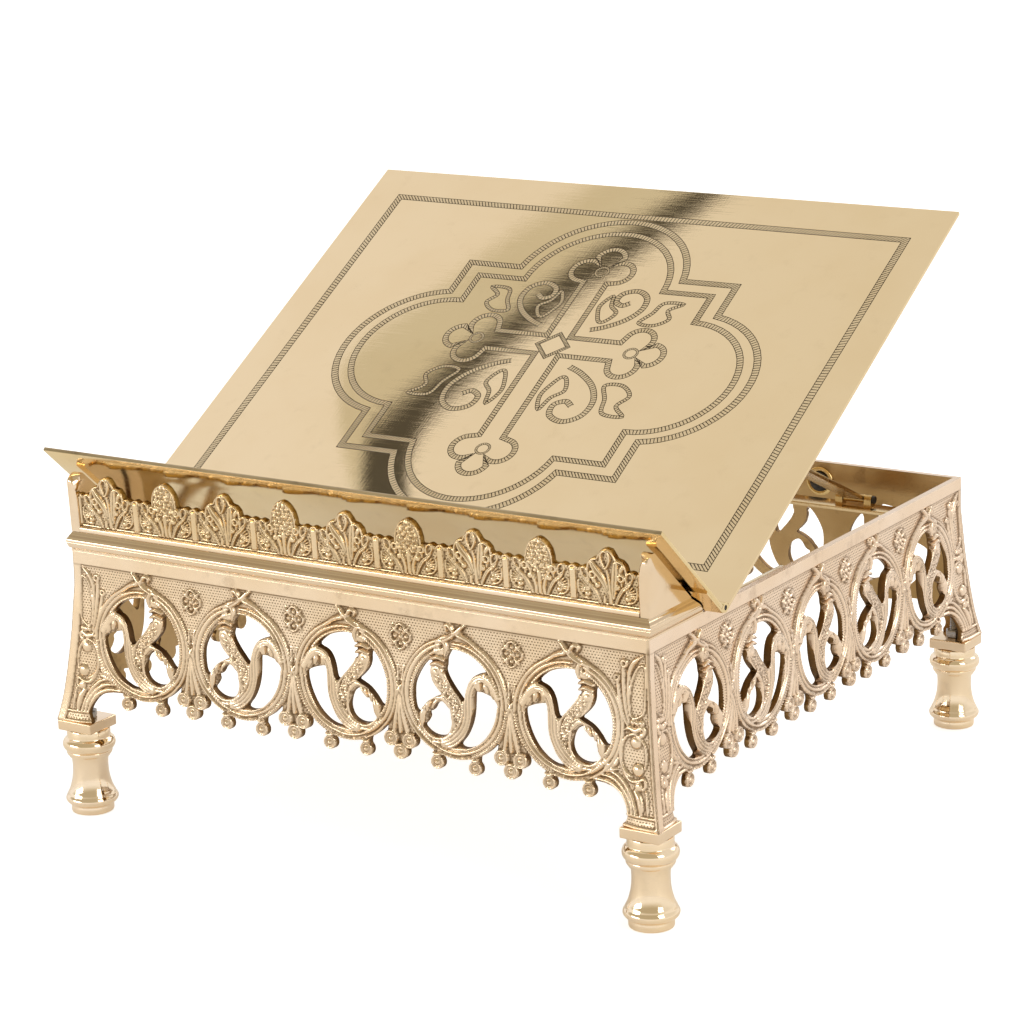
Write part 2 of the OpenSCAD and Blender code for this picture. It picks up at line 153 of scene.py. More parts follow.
def brass(name, light, deep, patina, rough=0.2, grain=0.25, wear=0.25,
          stipple=False, scratch=0.0, dull=0.0, patch=0.5):
    """Brass: light and deep are two tones of the clean metal, patina the dark
    one in hollows and in patches, mixed in by the vertex attribute K; on some
    parts K also carries painted shade and painted dark reflection bands, and
    the stippled pits are darkened as painted shade."""
    m, nt, bs = nodes_of(name)
    t = Tree(nt)
    co = t.coords()
    big = t.noise(co, 22.0, 3.0)
    mid = t.noise(co, 95.0, 4.0)
    fine = t.noise(co, 900.0, 3.0)
    tone = t.mix(t.ramp(big, 0.35, 0.68), light, deep)
    k = t.attr("K")
    blot = t.math("MULTIPLY", t.ramp(mid, 0.55 - 0.15 * dull, 0.8 - 0.2 * dull), patch)
    dark = t.math("MAXIMUM", t.math("MULTIPLY", k, t.ramp(mid, 0.15, 0.75, 0.75, 1.0)), blot)
    height = t.math("MULTIPLY", fine, grain)
    height = t.math("ADD", height, t.math("MULTIPLY", mid, wear))
    if stipple:
        g = t.attr("G")
        sx, sy, sz = t.split(co)
        v = t.math("MULTIPLY", sz, 1000.0 / 1.26)
        row = t.math("FLOOR", v)
        wob = t.math("MULTIPLY", t.noise(co, 160.0, 1.0), 0.8)
        u = t.math("ADD", t.math("MULTIPLY", sx, 1000.0 / 1.5), wob)
        u = t.math("ADD", u, t.math("MULTIPLY", t.math("MODULO", t.math("ADD", row, 400.0), 2.0), 0.5))
        du = t.math("ABSOLUTE", t.math("SUBTRACT", t.math("FRACT", t.math("ADD", u, 400.0)), 0.5))
        dv = t.math("ABSOLUTE", t.math("SUBTRACT", t.math("FRACT", v), 0.5))
        d = t.math("SQRT", t.math("ADD", t.math("POWER", t.math("MULTIPLY", du, 1.15), 2.0),
                                  t.math("POWER", t.math("MULTIPLY", dv, 1.5), 2.0)))
        pit = t.math("MULTIPLY", t.ramp(d, 0.17, 0.36, 1.0, 0.0), g)
        pit = t.math("MULTIPLY", pit, t.ramp(t.noise(co, 420.0, 1.0), 0.25, 0.6, 0.55, 1.0))
        # painted shade: the punched pits are darkened towards the patina colour
        dark = t.math("MAXIMUM", dark, pit)
        height = t.math("SUBTRACT", height, t.math("MULTIPLY", pit, 1.6))
    dark = t.math("ADD", dark, dull, clamp=True)
    nt.links.new(t.mix(dark, tone, patina), bs.inputs["Base Color"])
    bs.inputs["Metallic"].default_value = 1.0
    r = t.math("ADD", t.math("MULTIPLY", dark, 0.22), rough)
    r = t.math("ADD", r, t.math("MULTIPLY", t.math("SUBTRACT", mid, 0.5), 0.16))
    if scratch:
        st = t.noise(t.scaled(co, (3.0, 420.0, 420.0)), 6.0, 2.0)
        st2 = t.noise(t.scaled(co, (500.0, 14.0, 14.0)), 3.0, 2.0)
        r = t.math("ADD", r, t.math("MULTIPLY", t.math("SUBTRACT", st, 0.5), scratch))
        height = t.math("ADD", height, t.math("MULTIPLY", st, scratch * 0.35))
        height = t.math("ADD", height, t.math("MULTIPLY", st2, scratch * 0.15))
    nt.links.new(t.math("MAXIMUM", r, 0.014), bs.inputs["Roughness"])
    nt.links.new(t.bump(height, 0.0004, 0.6), bs.inputs["Normal"])
    return m


def steel(name, c1, c2, rough, rust=0.35):
    m, nt, bs = nodes_of(name)
    t = Tree(nt)
    co = t.coords()
    n = t.noise(co, 300.0, 4.0)
    n2 = t.noise(co, 1500.0, 2.0)
    tone = t.mix(t.ramp(n, 0.4, 0.7), c1, c2)
    tone = t.mix(t.math("MULTIPLY", t.ramp(n2, 0.5, 0.75), rust), tone, (0.10, 0.05, 0.025))
    nt.links.new(tone, bs.inputs["Base Color"])
    bs.inputs["Metallic"].default_value = 0.9
    nt.links.new(t.ramp(n, 0.3, 0.8, rough, rough + 0.25), bs.inputs["Roughness"])
    nt.links.new(t.bump(n2, 0.0003, 0.4), bs.inputs["Normal"])
    return m


LIGHT = (0.91, 0.73, 0.53)
DEEP = (0.85, 0.655, 0.44)
PAT = (0.20, 0.12, 0.055)
M_CAST = brass("cast_brass", LIGHT, DEEP, PAT, rough=0.20, grain=0.30, wear=0.5, stipple=True, patch=0.25)
M_BACK = brass("cast_brass_inside", (0.62, 0.43, 0.21), (0.48, 0.31, 0.13), (0.15, 0.085, 0.035),
               rough=0.32, grain=0.5, wear=0.7, dull=0.08, patch=0.5)
# walls of the openings: a dark copy of the cast brass, painted shade inside the piercings
M_WALL_SHADE = brass("cast_brass_edges_painted_shade", (0.36, 0.21, 0.08), (0.24, 0.13, 0.045), (0.08, 0.04, 0.014),
               rough=0.34, grain=0.4, wear=0.6, dull=0.1, patch=0.5)
# a lighter copy of the cast brass for the right, back and left panels: painted light on the same casting as the front
M_SIDE_LIT = brass("cast_brass_sides_painted_light", (0.96, 0.765, 0.59), (0.90, 0.69, 0.50), (0.22, 0.13, 0.065), rough=0.20, grain=0.30, wear=0.5,
               stipple=True, patch=0.25)
M_TURN = brass("turned_brass", (0.965, 0.79, 0.585), (0.94, 0.75, 0.51), (0.24, 0.13, 0.045), rough=0.09,
               grain=0.04, wear=0.05, patch=0.12)
M_MOULD = brass("drawn_brass", (0.90, 0.725, 0.53), (0.86, 0.66, 0.44), (0.24, 0.13, 0.05), rough=0.12,
                grain=0.05, wear=0.10, patch=0.10, scratch=0.05)
M_SHEET = brass("sheet_brass", (0.85, 0.665, 0.405), (0.83, 0.64, 0.38), (0.20, 0.11, 0.04), rough=0.012,
                grain=0.01, wear=0.03, patch=0.05, scratch=0.10)
M_CREST = brass("crest_brass", (0.88, 0.69, 0.45), (0.80, 0.60, 0.35), PAT, rough=0.2, grain=0.25,
                wear=0.4, stipple=True, patch=0.2)
M_GOLD = brass("gilt_brass", (0.80, 0.60, 0.28), (0.56, 0.38, 0.14), (0.13, 0.075, 0.025), rough=0.16, grain=0.1,
               wear=0.5, patch=0.45)
M_LEDGE = brass("ledge_brass", (0.86, 0.69, 0.40), (0.82, 0.63, 0.33), (0.20, 0.10, 0.03), rough=0.12, grain=0.03,
                wear=0.06, patch=0.10, scratch=0.08)
M_RAIL = brass("rail_brass", (0.80, 0.62, 0.36), (0.68, 0.49, 0.24), (0.16, 0.085, 0.03), rough=0.2, grain=0.2,
               wear=0.3, patch=0.3, scratch=0.05)
# darker brass for the ledge's narrow edges: painted shade along its top edge
M_LEDGE_EDGE_SHADE = brass("ledge_edge_painted_shade", (0.60, 0.48, 0.31), (0.42, 0.33, 0.20), (0.10, 0.06, 0.03), rough=0.3, grain=0.2,
               wear=0.3, patch=0.4)
M_BURR = brass("burr_brass", (0.78, 0.62, 0.38), (0.74, 0.57, 0.33), (0.20, 0.11, 0.04), rough=0.34, grain=0.3,
               wear=0.2, patch=0.1)
# near-black strips for the engraved lines: painted shade standing in for the cut furrows
M_CUT_SHADE = brass("engraving_painted_shade", (0.085, 0.06, 0.03), (0.06, 0.04, 0.02), (0.02, 0.012, 0.006), rough=0.4, grain=0.3,
              wear=0.3, patch=0.3)
M_AGED = brass("aged_brass", (0.60, 0.41, 0.17), (0.44, 0.27, 0.09), (0.12, 0.065, 0.022), rough=0.24,
               grain=0.25, wear=0.35, dull=0.05, patch=0.5, scratch=0.05)
M_STEEL = steel("steel", (0.45, 0.44, 0.43), (0.30, 0.29, 0.28), 0.3)
M_DARK = steel("dark_steel", (0.06, 0.055, 0.05), (0.03, 0.028, 0.026), 0.35, rust=0.3)

# ---------------------------------------------------------------- mesh helpers


def mesh_object(name, verts, faces, mat, attrs=None, smooth=True, sharp=None):
    me = bpy.data.meshes.new(name)
    v = np.asarray(verts, np.float32)
    me.vertices.add(len(v))
    me.vertices.foreach_set("co", (v * MM).astype(np.float32).ravel())
    sizes = np.array([len(f) for f in faces], np.int32) if not isinstance(faces, tuple) else faces[0]
    flat = np.concatenate([np.asarray(f, np.int32).ravel() for f in faces]) if not isinstance(faces, tuple) else faces[1]
    starts = np.zeros(len(sizes), np.int32)
    starts[1:] = np.cumsum(sizes)[:-1]
    me.loops.add(len(flat))
    me.loops.foreach_set("vertex_index", flat.astype(np.int32))
    me.polygons.add(len(sizes))
    me.polygons.foreach_set("loop_start", starts)
    me.update(calc_edges=True)
    me.validate()
    me.polygons.foreach_set("use_smooth", np.full(len(me.polygons), smooth, bool))
    if attrs:
        for k, a in attrs.items():
            at = me.attributes.new(k, "FLOAT", "POINT")
            at.data.foreach_set("value", np.asarray(a, np.float32))
    ob = bpy.data.objects.new(name, me)
    COL.objects.link(ob)
    if mat is not None:
        me.materials.append(mat)
    if sharp is not None:
        sharpen(ob, sharp)
    return ob


def sharpen(ob, angle=32.0):
    """Smooth shading with edges steeper than the angle kept sharp."""
    me = ob.data
    me.polygons.foreach_set("use_smooth", np.ones(len(me.polygons), bool))
    me.set_sharp_from_angle(angle=math.radians(angle))


def ride(ob, body, slot, *nodes):
    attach(ob, body)
    if nodes:
        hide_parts(*nodes)
    return ob


def lathe(name, prof, mat, seg=72, axis="z", at=(0, 0, 0), sharp=38.0, closed=False):
    """Solid of revolution of (r, h) points."""
    p = np.array(prof, float)
    a = np.linspace(0, 2 * math.pi, seg, endpoint=False)
    ring = np.stack([np.cos(a), np.sin(a)], 1)
    V, idx = [], []
    for r, h in p:
        if r < 1e-6:
            idx.append([len(V)])
            V.append((0, 0, h))
        else:
            idx.append(list(range(len(V), len(V) + seg)))
            for c, s in ring:
                V.append((r * c, r * s, h))
    F = []
    n = len(p)
    for i in range(n if closed else n - 1):
        A, C = idx[i], idx[(i + 1) % n]
        for j in range(seg):
            k = (j + 1) % seg
            if len(A) == 1 and len(C) == 1:
                continue
            if len(A) == 1:
                F.append((A[0], C[k], C[j]))
            elif len(C) == 1:
                F.append((A[j], A[k], C[0]))
            else:
                F.append((A[j], A[k], C[k], C[j]))
    V = np.array(V, float)
    if axis == "x":
        V = V[:, [2, 0, 1]]
    elif axis == "y":
        V = V[:, [1, 2, 0]]
    elif axis == "-y":
        V = np.stack([V[:, 0], -V[:, 2], V[:, 1]], 1)
    V = V + np.array(at)
    ob = mesh_object(name, V, F, mat, sharp=sharp)
    fix_normals(ob)
    return ob


def fix_normals(ob):
    import bmesh
    bm = bmesh.new()
    bm.from_mesh(ob.data)
    bmesh.ops.recalc_face_normals(bm, faces=bm.faces)
    bm.to_mesh(ob.data)
    bm.free()


def join(name, obs):
    """Joins mesh objects into the first one."""
    V, F, L, base = [], [], [], 0
    mats = []
    import bmesh
    bm = bmesh.new()
    for o in obs:
        me = o.data
        me.transform(o.matrix_world)
        bm.from_mesh(me)
        for m in me.materials:
            if m not in mats:
                mats.append(m)
    ob = obs[0]
    me = bpy.data.meshes.new(name)
    bm.to_mesh(me)
    bm.free()
    for m in mats:
        me.materials.append(m)
    new = bpy.data.objects.new(name, me)
    COL.objects.link(new)
    for o in obs:
        bpy.data.objects.remove(o)
    return new


def rounded(name, lo, hi, mat, bevel=0.5, seg=2, rot=None, pivot=None, sharp=50):
    """Box with rounded edges, optionally turned about X by rot round pivot."""
    import bmesh
    bm = bmesh.new()
    lo, hi = np.array(lo, float), np.array(hi, float)
    bmesh.ops.create_cube(bm, size=1.0)
    for v in bm.verts:
        c = (lo + hi) / 2 + np.array(v.co) * (hi - lo)
        v.co = Vector(c * MM)
    bmesh.ops.bevel(bm, geom=bm.edges[:], offset=bevel * MM, segments=seg, profile=0.6, affect="EDGES")
    me = bpy.data.meshes.new(name)
    bm.to_mesh(me)
    bm.free()
    ob = bpy.data.objects.new(name, me)
    COL.objects.link(ob)
    me.materials.append(mat)
    if rot is not None:
        p = Vector(pivot) * MM
        me.transform(Matrix.Translation(p) @ Matrix.Rotation(rot, 4, "X"))
    sharpen(ob, sharp)
    return ob


# ---------------------------------------------------------------- relief engine


def spline(pts, n=8, closed=False):
    p = np.array(pts, float)
    m = len(p)
    if m < 3:
        return p
    out = []
    rng = range(m if closed else m - 1)
    for i in rng:
        if closed:
            a, b, c, d = p[(i - 1) % m], p[i], p[(i + 1) % m], p[(i + 2) % m]
        else:
            b, c = p[i], p[i + 1]
            a = p[i - 1] if i > 0 else 2 * b - c
            d = p[i + 2] if i + 2 < m else 2 * c - b
        for k in range(n):
            t = k / n
            out.append(0.5 * ((2 * b) + (-a + c) * t + (2 * a - 5 * b + 4 * c - d) * t * t
                              + (-a + 3 * b - 3 * c + d) * t ** 3))
    if not closed:
        out.append(p[-1])
    return np.array(out)


def poly_sdf(P, U, V):
    """Signed distance to a closed polygon, positive inside."""
    d = np.full(U.shape, 1e9)
    inside = np.zeros(U.shape, bool)
    n = len(P)
    for i in range(n):
        a, b = P[i], P[(i + 1) % n]
        e = b - a
        wx, wy = U - a[0], V - a[1]
        t = np.clip((wx * e[0] + wy * e[1]) / max(e @ e, 1e-12), 0, 1)
        dx, dy = wx - t * e[0], wy - t * e[1]
        d = np.minimum(d, dx * dx + dy * dy)
        c = ((a[1] > V) != (b[1] > V))
        if abs(e[1]) > 1e-12:
            xi = a[0] + (V - a[1]) * e[0] / e[1]
            inside ^= c & (U < xi)
    d = np.sqrt(d)
    return np.where(inside, d, -d)


class Relief:
    """Height map H, solid map S (positive inside) and ground mask G on a grid."""

    def __init__(self, xs, zs, ground):
        self.xs, self.zs = np.array(xs, float), np.array(zs, float)
        self.X, self.Z = np.meshgrid(self.xs, self.zs)
        self.S = np.full(self.X.shape, -1e3)
        self.H = np.full(self.X.shape, float(ground))
        self.G = np.ones(self.X.shape)
        self.g0 = float(ground)
        self.place(0, 0, 1)

    def place(self, cx, cz, m=1):
        """Sets the local frame for the next strokes; m = -1 mirrors it."""
        self.cx, self.cz, self.m = cx, cz, m

    def _win(self, lo, hi, pad):
        xa, xb = sorted((self.cx + self.m * lo[0], self.cx + self.m * hi[0]))
        i0 = np.searchsorted(self.xs, xa - pad)
        i1 = np.searchsorted(self.xs, xb + pad)
        j0 = np.searchsorted(self.zs, self.cz + lo[1] - pad)
        j1 = np.searchsorted(self.zs, self.cz + hi[1] + pad)
        sl = (slice(max(j0, 0), j1), slice(max(i0, 0), i1))
        U = (self.X[sl] - self.cx) * self.m
        V = self.Z[sl] - self.cz
        return sl, U, V

    def line(self, pts, w, closed=False, n=8):
        """Distance to a curve: returns window, lateral ratio q (signed) and arc
        parameter s, where w is the half width at the given points."""
        P = spline(pts, n, closed)
        if closed:
            P = np.vstack([P, P[:1]])
        w = np.atleast_1d(np.array(w, float))
        seg = np.linalg.norm(np.diff(P, axis=0), axis=1)
        arc = np.concatenate([[0], np.cumsum(seg)])
        L = arc[-1]
        knots = np.linspace(0, 1, len(w)) if len(w) > 1 else np.array([0.0])
        wm = w.max()
        sl, U, V = self._win(P.min(0), P.max(0), wm + 0.6)
        best = np.full(U.shape, 1e9)
        Q = np.full(U.shape, 9.0)
        A = np.zeros(U.shape)
        W = np.full(U.shape, wm)
        for i in range(len(P) - 1):
            a, e = P[i], P[i + 1] - P[i]
            l2 = e @ e
            if l2 < 1e-12:
                continue
            wx, wy = U - a[0], V - a[1]
            t = np.clip((wx * e[0] + wy * e[1]) / l2, 0, 1)
            dx, dy = wx - t * e[0], wy - t * e[1]
            s = (arc[i] + t * seg[i]) / L
            ww = np.interp(s, knots, w) if len(w) > 1 else np.full(U.shape, w[0])
            ww = np.maximum(ww, 1e-3)
            dist = np.hypot(dx, dy)
            q = dist / ww
            side = np.sign(e[0] * dy - e[1] * dx)
            side = np.where(side == 0, 1, side)
            better = q < best
            best = np.where(better, q, best)
            Q = np.where(better, q * side, Q)
            A = np.where(better, s, A)
            W = np.where(better, ww, W)
        return sl, Q, A, W, L

    def stroke(self, pts, w, h, reeds=1, base=None, closed=False, flat=0.0, solid=False, notch=0.0,
               pitch=1.5, depth=0.5, n=8, add=False, clear=True):
        """A raised band along a curve. reeds is the number of parallel ribs, flat
        the share of the width with a level top, notch the depth of cross cuts."""
        sl, Q, A, W, L = self.line(pts, w, closed, n)
        q = np.abs(Q)
        h = np.atleast_1d(np.array(h, float))
        hh = np.interp(A, np.linspace(0, 1, len(h)), h) if len(h) > 1 else h[0]
        inside = q < 1
        qq = np.clip((q - flat) / max(1 - flat, 1e-3), 0, 1)
        prof = np.sqrt(np.clip(1 - qq * qq, 0, 1))
        if reeds > 1:
            rb = np.abs(np.sin(np.pi * reeds * (np.clip(Q, -1, 1) + 1) / 2)) ** 0.7
            prof = prof * (1 - depth) + depth * rb * np.clip((1 - q) * 6, 0, 1)
        if notch > 0:
            nt = 0.5 - 0.5 * np.cos(2 * np.pi * A * round(L / pitch))
            prof = prof - notch * (1 - nt) * np.clip((1 - q) * 3, 0, 1)
        b = self.g0 if base is None else base
        cand = b + hh * prof
        H = self.H[sl]
        if add:
            self.H[sl] = np.where(inside, H + hh * prof, H)
        else:
            self.H[sl] = np.where(inside, np.maximum(H, cand), H)
        if clear:
            self.G[sl] = np.where(inside, 0.0, self.G[sl])
        if solid:
            self.S[sl] = np.maximum(self.S[sl], (1 - q) * W)

    def beside(self, pts, w, q):
        """The path moved sideways by q half widths."""
        p = np.array(pts, float)
        d = np.gradient(p, axis=0)
        d /= np.linalg.norm(d, axis=1)[:, None]
        return p + np.stack([-d[:, 1], d[:, 0]], 1) * (np.array(w, float) * q)[:, None]

    def dome(self, x, z, r, h, base=None, solid=False, ring=0.0, clear=True, sq=1.0):
        """A rounded boss; ring > 0 dishes its middle."""
        sl, U, V = self._win((x, z), (x, z), r * max(1, sq) + 0.6)
        d = np.hypot((U - x) / sq, V - z)
        q = d / r
        inside = q < 1
        prof = np.sqrt(np.clip(1 - q * q, 0, 1))
        if ring > 0:
            prof = prof - ring * np.exp(-(q / 0.38) ** 2)
        b = self.g0 if base is None else base
        self.H[sl] = np.where(inside, np.maximum(self.H[sl], b + h * prof), self.H[sl])
        if clear:
            self.G[sl] = np.where(inside, 0.0, self.G[sl])
        if solid:
            self.S[sl] = np.maximum(self.S[sl], r - d)

    def plateau(self, pts, h, bevel=1.0, base=None, closed=True, smooth=6, solid=False, clear=True, level=None):
        """A raised area inside a closed outline, with rounded edges."""
        P = spline(pts, smooth, True) if smooth else np.array(pts, float)
        sl, U, V = self._win(P.min(0), P.max(0), 0.8)
        d = poly_sdf(P, U, V)
        e = np.clip(d / bevel, 0, 1)
        prof = np.sqrt(np.clip(1 - (1 - e) ** 2, 0, 1))
        b = self.g0 if base is None else base
        self.H[sl] = np.where(d > 0, np.maximum(self.H[sl], b + h * prof), self.H[sl])
        if clear:
            self.G[sl] = np.where(d > 0, 0.0, self.G[sl])
        if solid:
            self.S[sl] = np.maximum(self.S[sl], d)

    def pit(self, pts, level, bevel=0.5, smooth=6, ground=True):
        """Sinks a closed area to a level."""
        P = spline(pts, smooth, True) if smooth else np.array(pts, float)
        sl, U, V = self._win(P.min(0), P.max(0), 0.8)
        d = poly_sdf(P, U, V)
        k = np.clip(d / bevel, 0, 1)
        H = self.H[sl]
        self.H[sl] = np.where(d > 0, H * (1 - k) + np.minimum(H, level) * k, H)
        if ground:
            self.G[sl] = np.where(d > 0.3, 1.0, self.G[sl])

    def hole(self, pts, smooth=6):
        P = spline(pts, smooth, True) if smooth else np.array(pts, float)
        sl, U, V = self._win(P.min(0), P.max(0), 3.0)
        self.S[sl] = np.minimum(self.S[sl], -poly_sdf(P, U, V))

    def area(self, pts, smooth=0):
        P = spline(pts, smooth, True) if smooth else np.array(pts, float)
        sl, U, V = self._win(P.min(0), P.max(0), 3.0)
        self.S[sl] = np.maximum(self.S[sl], poly_sdf(P, U, V))

    def disc(self, x, z, r):
        sl, U, V = self._win((x, z), (x, z), r + 3)
        self.S[sl] = np.maximum(self.S[sl], r - np.hypot(U - x, V - z))

    def ring(self, x, z, r0, r1, h, base=None, notch=0.0, count=90, reeds=1, depth=0.6):
        """A raised circular band."""
        rm, w = (r0 + r1) / 2, (r1 - r0) / 2
        sl, U, V = self._win((x, z), (x, z), r1 + 1)
        q = (np.hypot(U - x, V - z) - rm) / w
        inside = np.abs(q) < 1
        prof = np.sqrt(np.clip(1 - q * q, 0, 1))
        if reeds > 1:
            rb = np.abs(np.sin(np.pi * reeds * (np.clip(q, -1, 1) + 1) / 2)) ** 0.7
            prof = prof * (1 - depth) + depth * rb
        if notch > 0:
            an = np.arctan2(V - z, U - x)
            prof = prof - notch * (0.5 + 0.5 * np.cos(an * count)) * np.clip((1 - np.abs(q)) * 3, 0, 1)
        b = self.g0 if base is None else base
        self.H[sl] = np.where(inside, np.maximum(self.H[sl], b + h * prof), self.H[sl])
        self.G[sl] = np.where(inside, 0.0, self.G[sl])

    def pebbles(self, pts, w, h, pitch=1.5, r=0.62, seed=3):
        """Small balls scattered along a band."""
        rs = np.random.RandomState(seed)
        sl, Q, A, W, L = self.line(pts, w)
        inside = np.abs(Q) < 0.95
        U = (self.X[sl] - self.cx) * self.m
        V = self.Z[sl] - self.cz
        a, b = U / pitch, V / (pitch * 0.87)
        row = np.floor(b)
        out = np.zeros(U.shape)
        jit = rs.rand(64, 64, 2) * 0.5 - 0.25
        for dr in (-1, 0, 1):
            rr = row + dr
            off = 0.5 * (rr % 2)
            col = np.floor(a - off)
            for dc in (-1, 0, 1):
                cc = col + dc
                j = jit[rr.astype(int) % 64, cc.astype(int) % 64]
                px = (cc + off + 0.5 + j[..., 0]) * pitch
                pz = (rr + 0.5 + j[..., 1]) * pitch * 0.87
                d = np.hypot(U - px, V - pz) / r
                out = np.maximum(out, np.sqrt(np.clip(1 - d * d, 0, 1)))
        self.H[sl] = np.where(inside, self.H[sl] + h * out, self.H[sl])


def blur(a, k):
    """Box blur applied twice."""
    for _ in range(2):
        for ax in (0, 1):
            pad = [(0, 0), (0, 0)]
            pad[ax] = (k + 1, k)
            c = np.cumsum(np.pad(a, pad, mode="edge"), axis=ax)
            n = 2 * k + 1
            hi = np.take(c, range(n, c.shape[ax]), axis=ax)
            lo = np.take(c, range(0, c.shape[ax] - n), axis=ax)
            a = (hi - lo) / n
    return a


def relief_mesh(name, R, place, back, mats, edge=0.7, edge_drop=0.5, k_gain=1.6, extra_k=None,
                wall=True, flip=False):
    """Turns a Relief into a mesh: the front surface inside S > 0, with walls along
    its outline. place(x, z, h) gives the 3D point; back(x, z) the wall's rear end."""
    S, H = R.S.copy(), R.H
    S = np.where(np.abs(S) < 0.02, 0.02, S)
    rim = np.clip(S / edge, 0, 1)
    H = H - edge_drop * (1 - np.sqrt(np.clip(1 - (1 - rim) ** 2, 0, 1)))
    cav = np.clip((blur(H, 1) - H) * 3.4, 0, 1) * 0.55 + np.clip((blur(H, 3) - H) * 1.5, 0, 1) * 0.5
    low = np.clip((R.g0 + 0.2 - H) / 0.5, 0, 1) * 0.06
    K = np.clip(cav * k_gain + low, 0, 1)
    if extra_k is not None:
        K = np.clip(K + extra_k(R.X, R.Z), 0, 1)
    G = R.G
    nz, nx = S.shape
    pos = S > 0
    idx = np.full(S.shape, -1, np.int64)
    jj, ii = np.nonzero(pos)
    idx[jj, ii] = np.arange(len(jj))
    VX, VZ, VH = [R.X[jj, ii]], [R.Z[jj, ii]], [H[jj, ii]]
    VK, VG = [K[jj, ii]], [G[jj, ii]]
    count = len(jj)
    # crossings on horizontal and vertical grid edges
    hx = pos[:, :-1] != pos[:, 1:]
    vx = pos[:-1, :] != pos[1:, :]
    hid = np.full(hx.shape, -1, np.int64)
    vid = np.full(vx.shape, -1, np.int64)

    def cross(a, b, c, d):
        sa, sb = S[a, b], S[c, d]
        t = sa / (sa - sb)
        f = lambda M: M[a, b] * (1 - t) + M[c, d] * t
        return f(R.X), f(R.Z), f(H), f(K), f(G)

    j, i = np.nonzero(hx)
    hid[j, i] = count + np.arange(len(j))
    r = cross(j, i, j, i + 1)
    count += len(j)
    j2, i2 = np.nonzero(vx)
    vid[j2, i2] = count + np.arange(len(j2))
    r2 = cross(j2, i2, j2 + 1, i2)
    count += len(j2)
    for L, x, y in zip((VX, VZ, VH, VK, VG), r, r2):
        L.append(x)
        L.append(y)
    x, z, h, k, g = (np.concatenate(L) for L in (VX, VZ, VH, VK, VG))
    n_grid = len(jj)
    # faces
    c00, c10 = pos[:-1, :-1], pos[:-1, 1:]
    c01, c11 = pos[1:, :-1], pos[1:, 1:]
    full = c00 & c10 & c01 & c11
    fj, fi = np.nonzero(full)
    quads = np.stack([idx[fj, fi], idx[fj, fi + 1], idx[fj + 1, fi + 1], idx[fj + 1, fi]], 1)
    any_ = (c00 | c10 | c01 | c11) & ~full
    tj, ti = np.nonzero(any_)
    polys, segs = [], []
    for a, b in zip(tj.tolist(), ti.tolist()):
        corners = [(a, b), (a, b + 1), (a + 1, b + 1), (a + 1, b)]
        edges = [hid[a, b], vid[a, b + 1], hid[a + 1, b], vid[a, b]]
        p = [pos[q] for q in corners]
        # split the ambiguous case into two corners
        if p[0] == p[2] and p[1] == p[3] and p[0] != p[1]:
            for c in range(4):
                if p[c]:
                    polys.append((idx[corners[c]], edges[c], edges[(c + 3) % 4]))
                    segs.append((edges[c], edges[(c + 3) % 4]))
            continue
        ring = []
        start = end = None
        for c in range(4):
            if p[c]:
                ring.append(idx[corners[c]])
            if edges[c] >= 0:
                ring.append(edges[c])
                if p[c]:
                    start = edges[c]
                else:
                    end = edges[c]
        polys.append(tuple(ring))
        if start is not None and end is not None:
            segs.append((start, end))
    P3 = place(x, z, h)
    F_sizes = [np.full(len(quads), 4, np.int32)]
    F_flat = [quads.ravel()]
    F_sizes.append(np.array([len(q) for q in polys], np.int32))
    F_flat.append(np.array([v for q in polys for v in q], np.int64))
    mat_idx = [np.zeros(len(quads) + len(polys), np.int32)]
    V = P3
    KK, GG = k, g
    if wall and segs:
        segs = np.array(segs)
        used = np.unique(segs)
        remap = np.full(count, -1, np.int64)
        remap[used] = np.arange(len(used))
        top = P3[used]
        bot = back(x[used], z[used])
        base_t = len(V)
        base_b = base_t + len(used)
        V = np.vstack([V, top, bot])
        # wall K runs from 0.15 at the front edge to 0.75 at the rear edge: painted shade deepening into the openings
        KK = np.concatenate([k, np.full(len(used), 0.15), np.full(len(used), 0.75)])
        GG = np.concatenate([g, np.zeros(2 * len(used))])
        sa, sb = remap[segs[:, 0]], remap[segs[:, 1]]
        w = np.stack([sa + base_t, sa + base_b, sb + base_b, sb + base_t], 1)
        F_sizes.append(np.full(len(w), 4, np.int32))
        F_flat.append(w.ravel())
        mat_idx.append(np.ones(len(w), np.int32))
    sizes, flat = np.concatenate(F_sizes), np.concatenate(F_flat)
    if flip:
        out, o = [], 0
        st = np.concatenate([[0], np.cumsum(sizes)])
        flat2 = flat.copy()
        # reverse each face
        seq = np.arange(len(flat))
        fid = np.repeat(np.arange(len(sizes)), sizes)
        flat2 = flat[st[fid] + (st[fid + 1] - 1 - seq)]
        flat = flat2
    ob = mesh_object(name, V, (sizes, flat), None, {"K": KK, "G": GG})
    for m in mats:
        ob.data.materials.append(m)
    if len(mats) > 1:
        ob.data.polygons.foreach_set("material_index", np.concatenate(mat_idx)[:len(ob.data.polygons)])
    return ob


# ---------------------------------------------------------------- side panels

FZ = np.array([128, RIM, 110, 98, 88, 78, 68, 58, 51, 44.2, 40])
F_MID = np.array([0, 0, 0.1, 1.1, 1.9, 2.1, 2.2, 2.2, 2.2, 2.2, 2.2])
F_LEG = np.array([0, 0, 0.1, 1.1, 1.9, 3.0, 4.2, 5.6, 7.0, 8.6, 9.5])


def table(xs, ys, lo, hi, soft):
    """Piecewise line with softened corners."""
    t = np.arange(lo, hi, 0.25)
    v = np.interp(t, xs, ys)
    n = int(soft * 12)
    k = np.exp(-(np.arange(-n, n + 1) * 0.25 / soft) ** 2)
    return t, np.convolve(np.pad(v, n, mode="edge"), k / k.sum(), mode="valid")


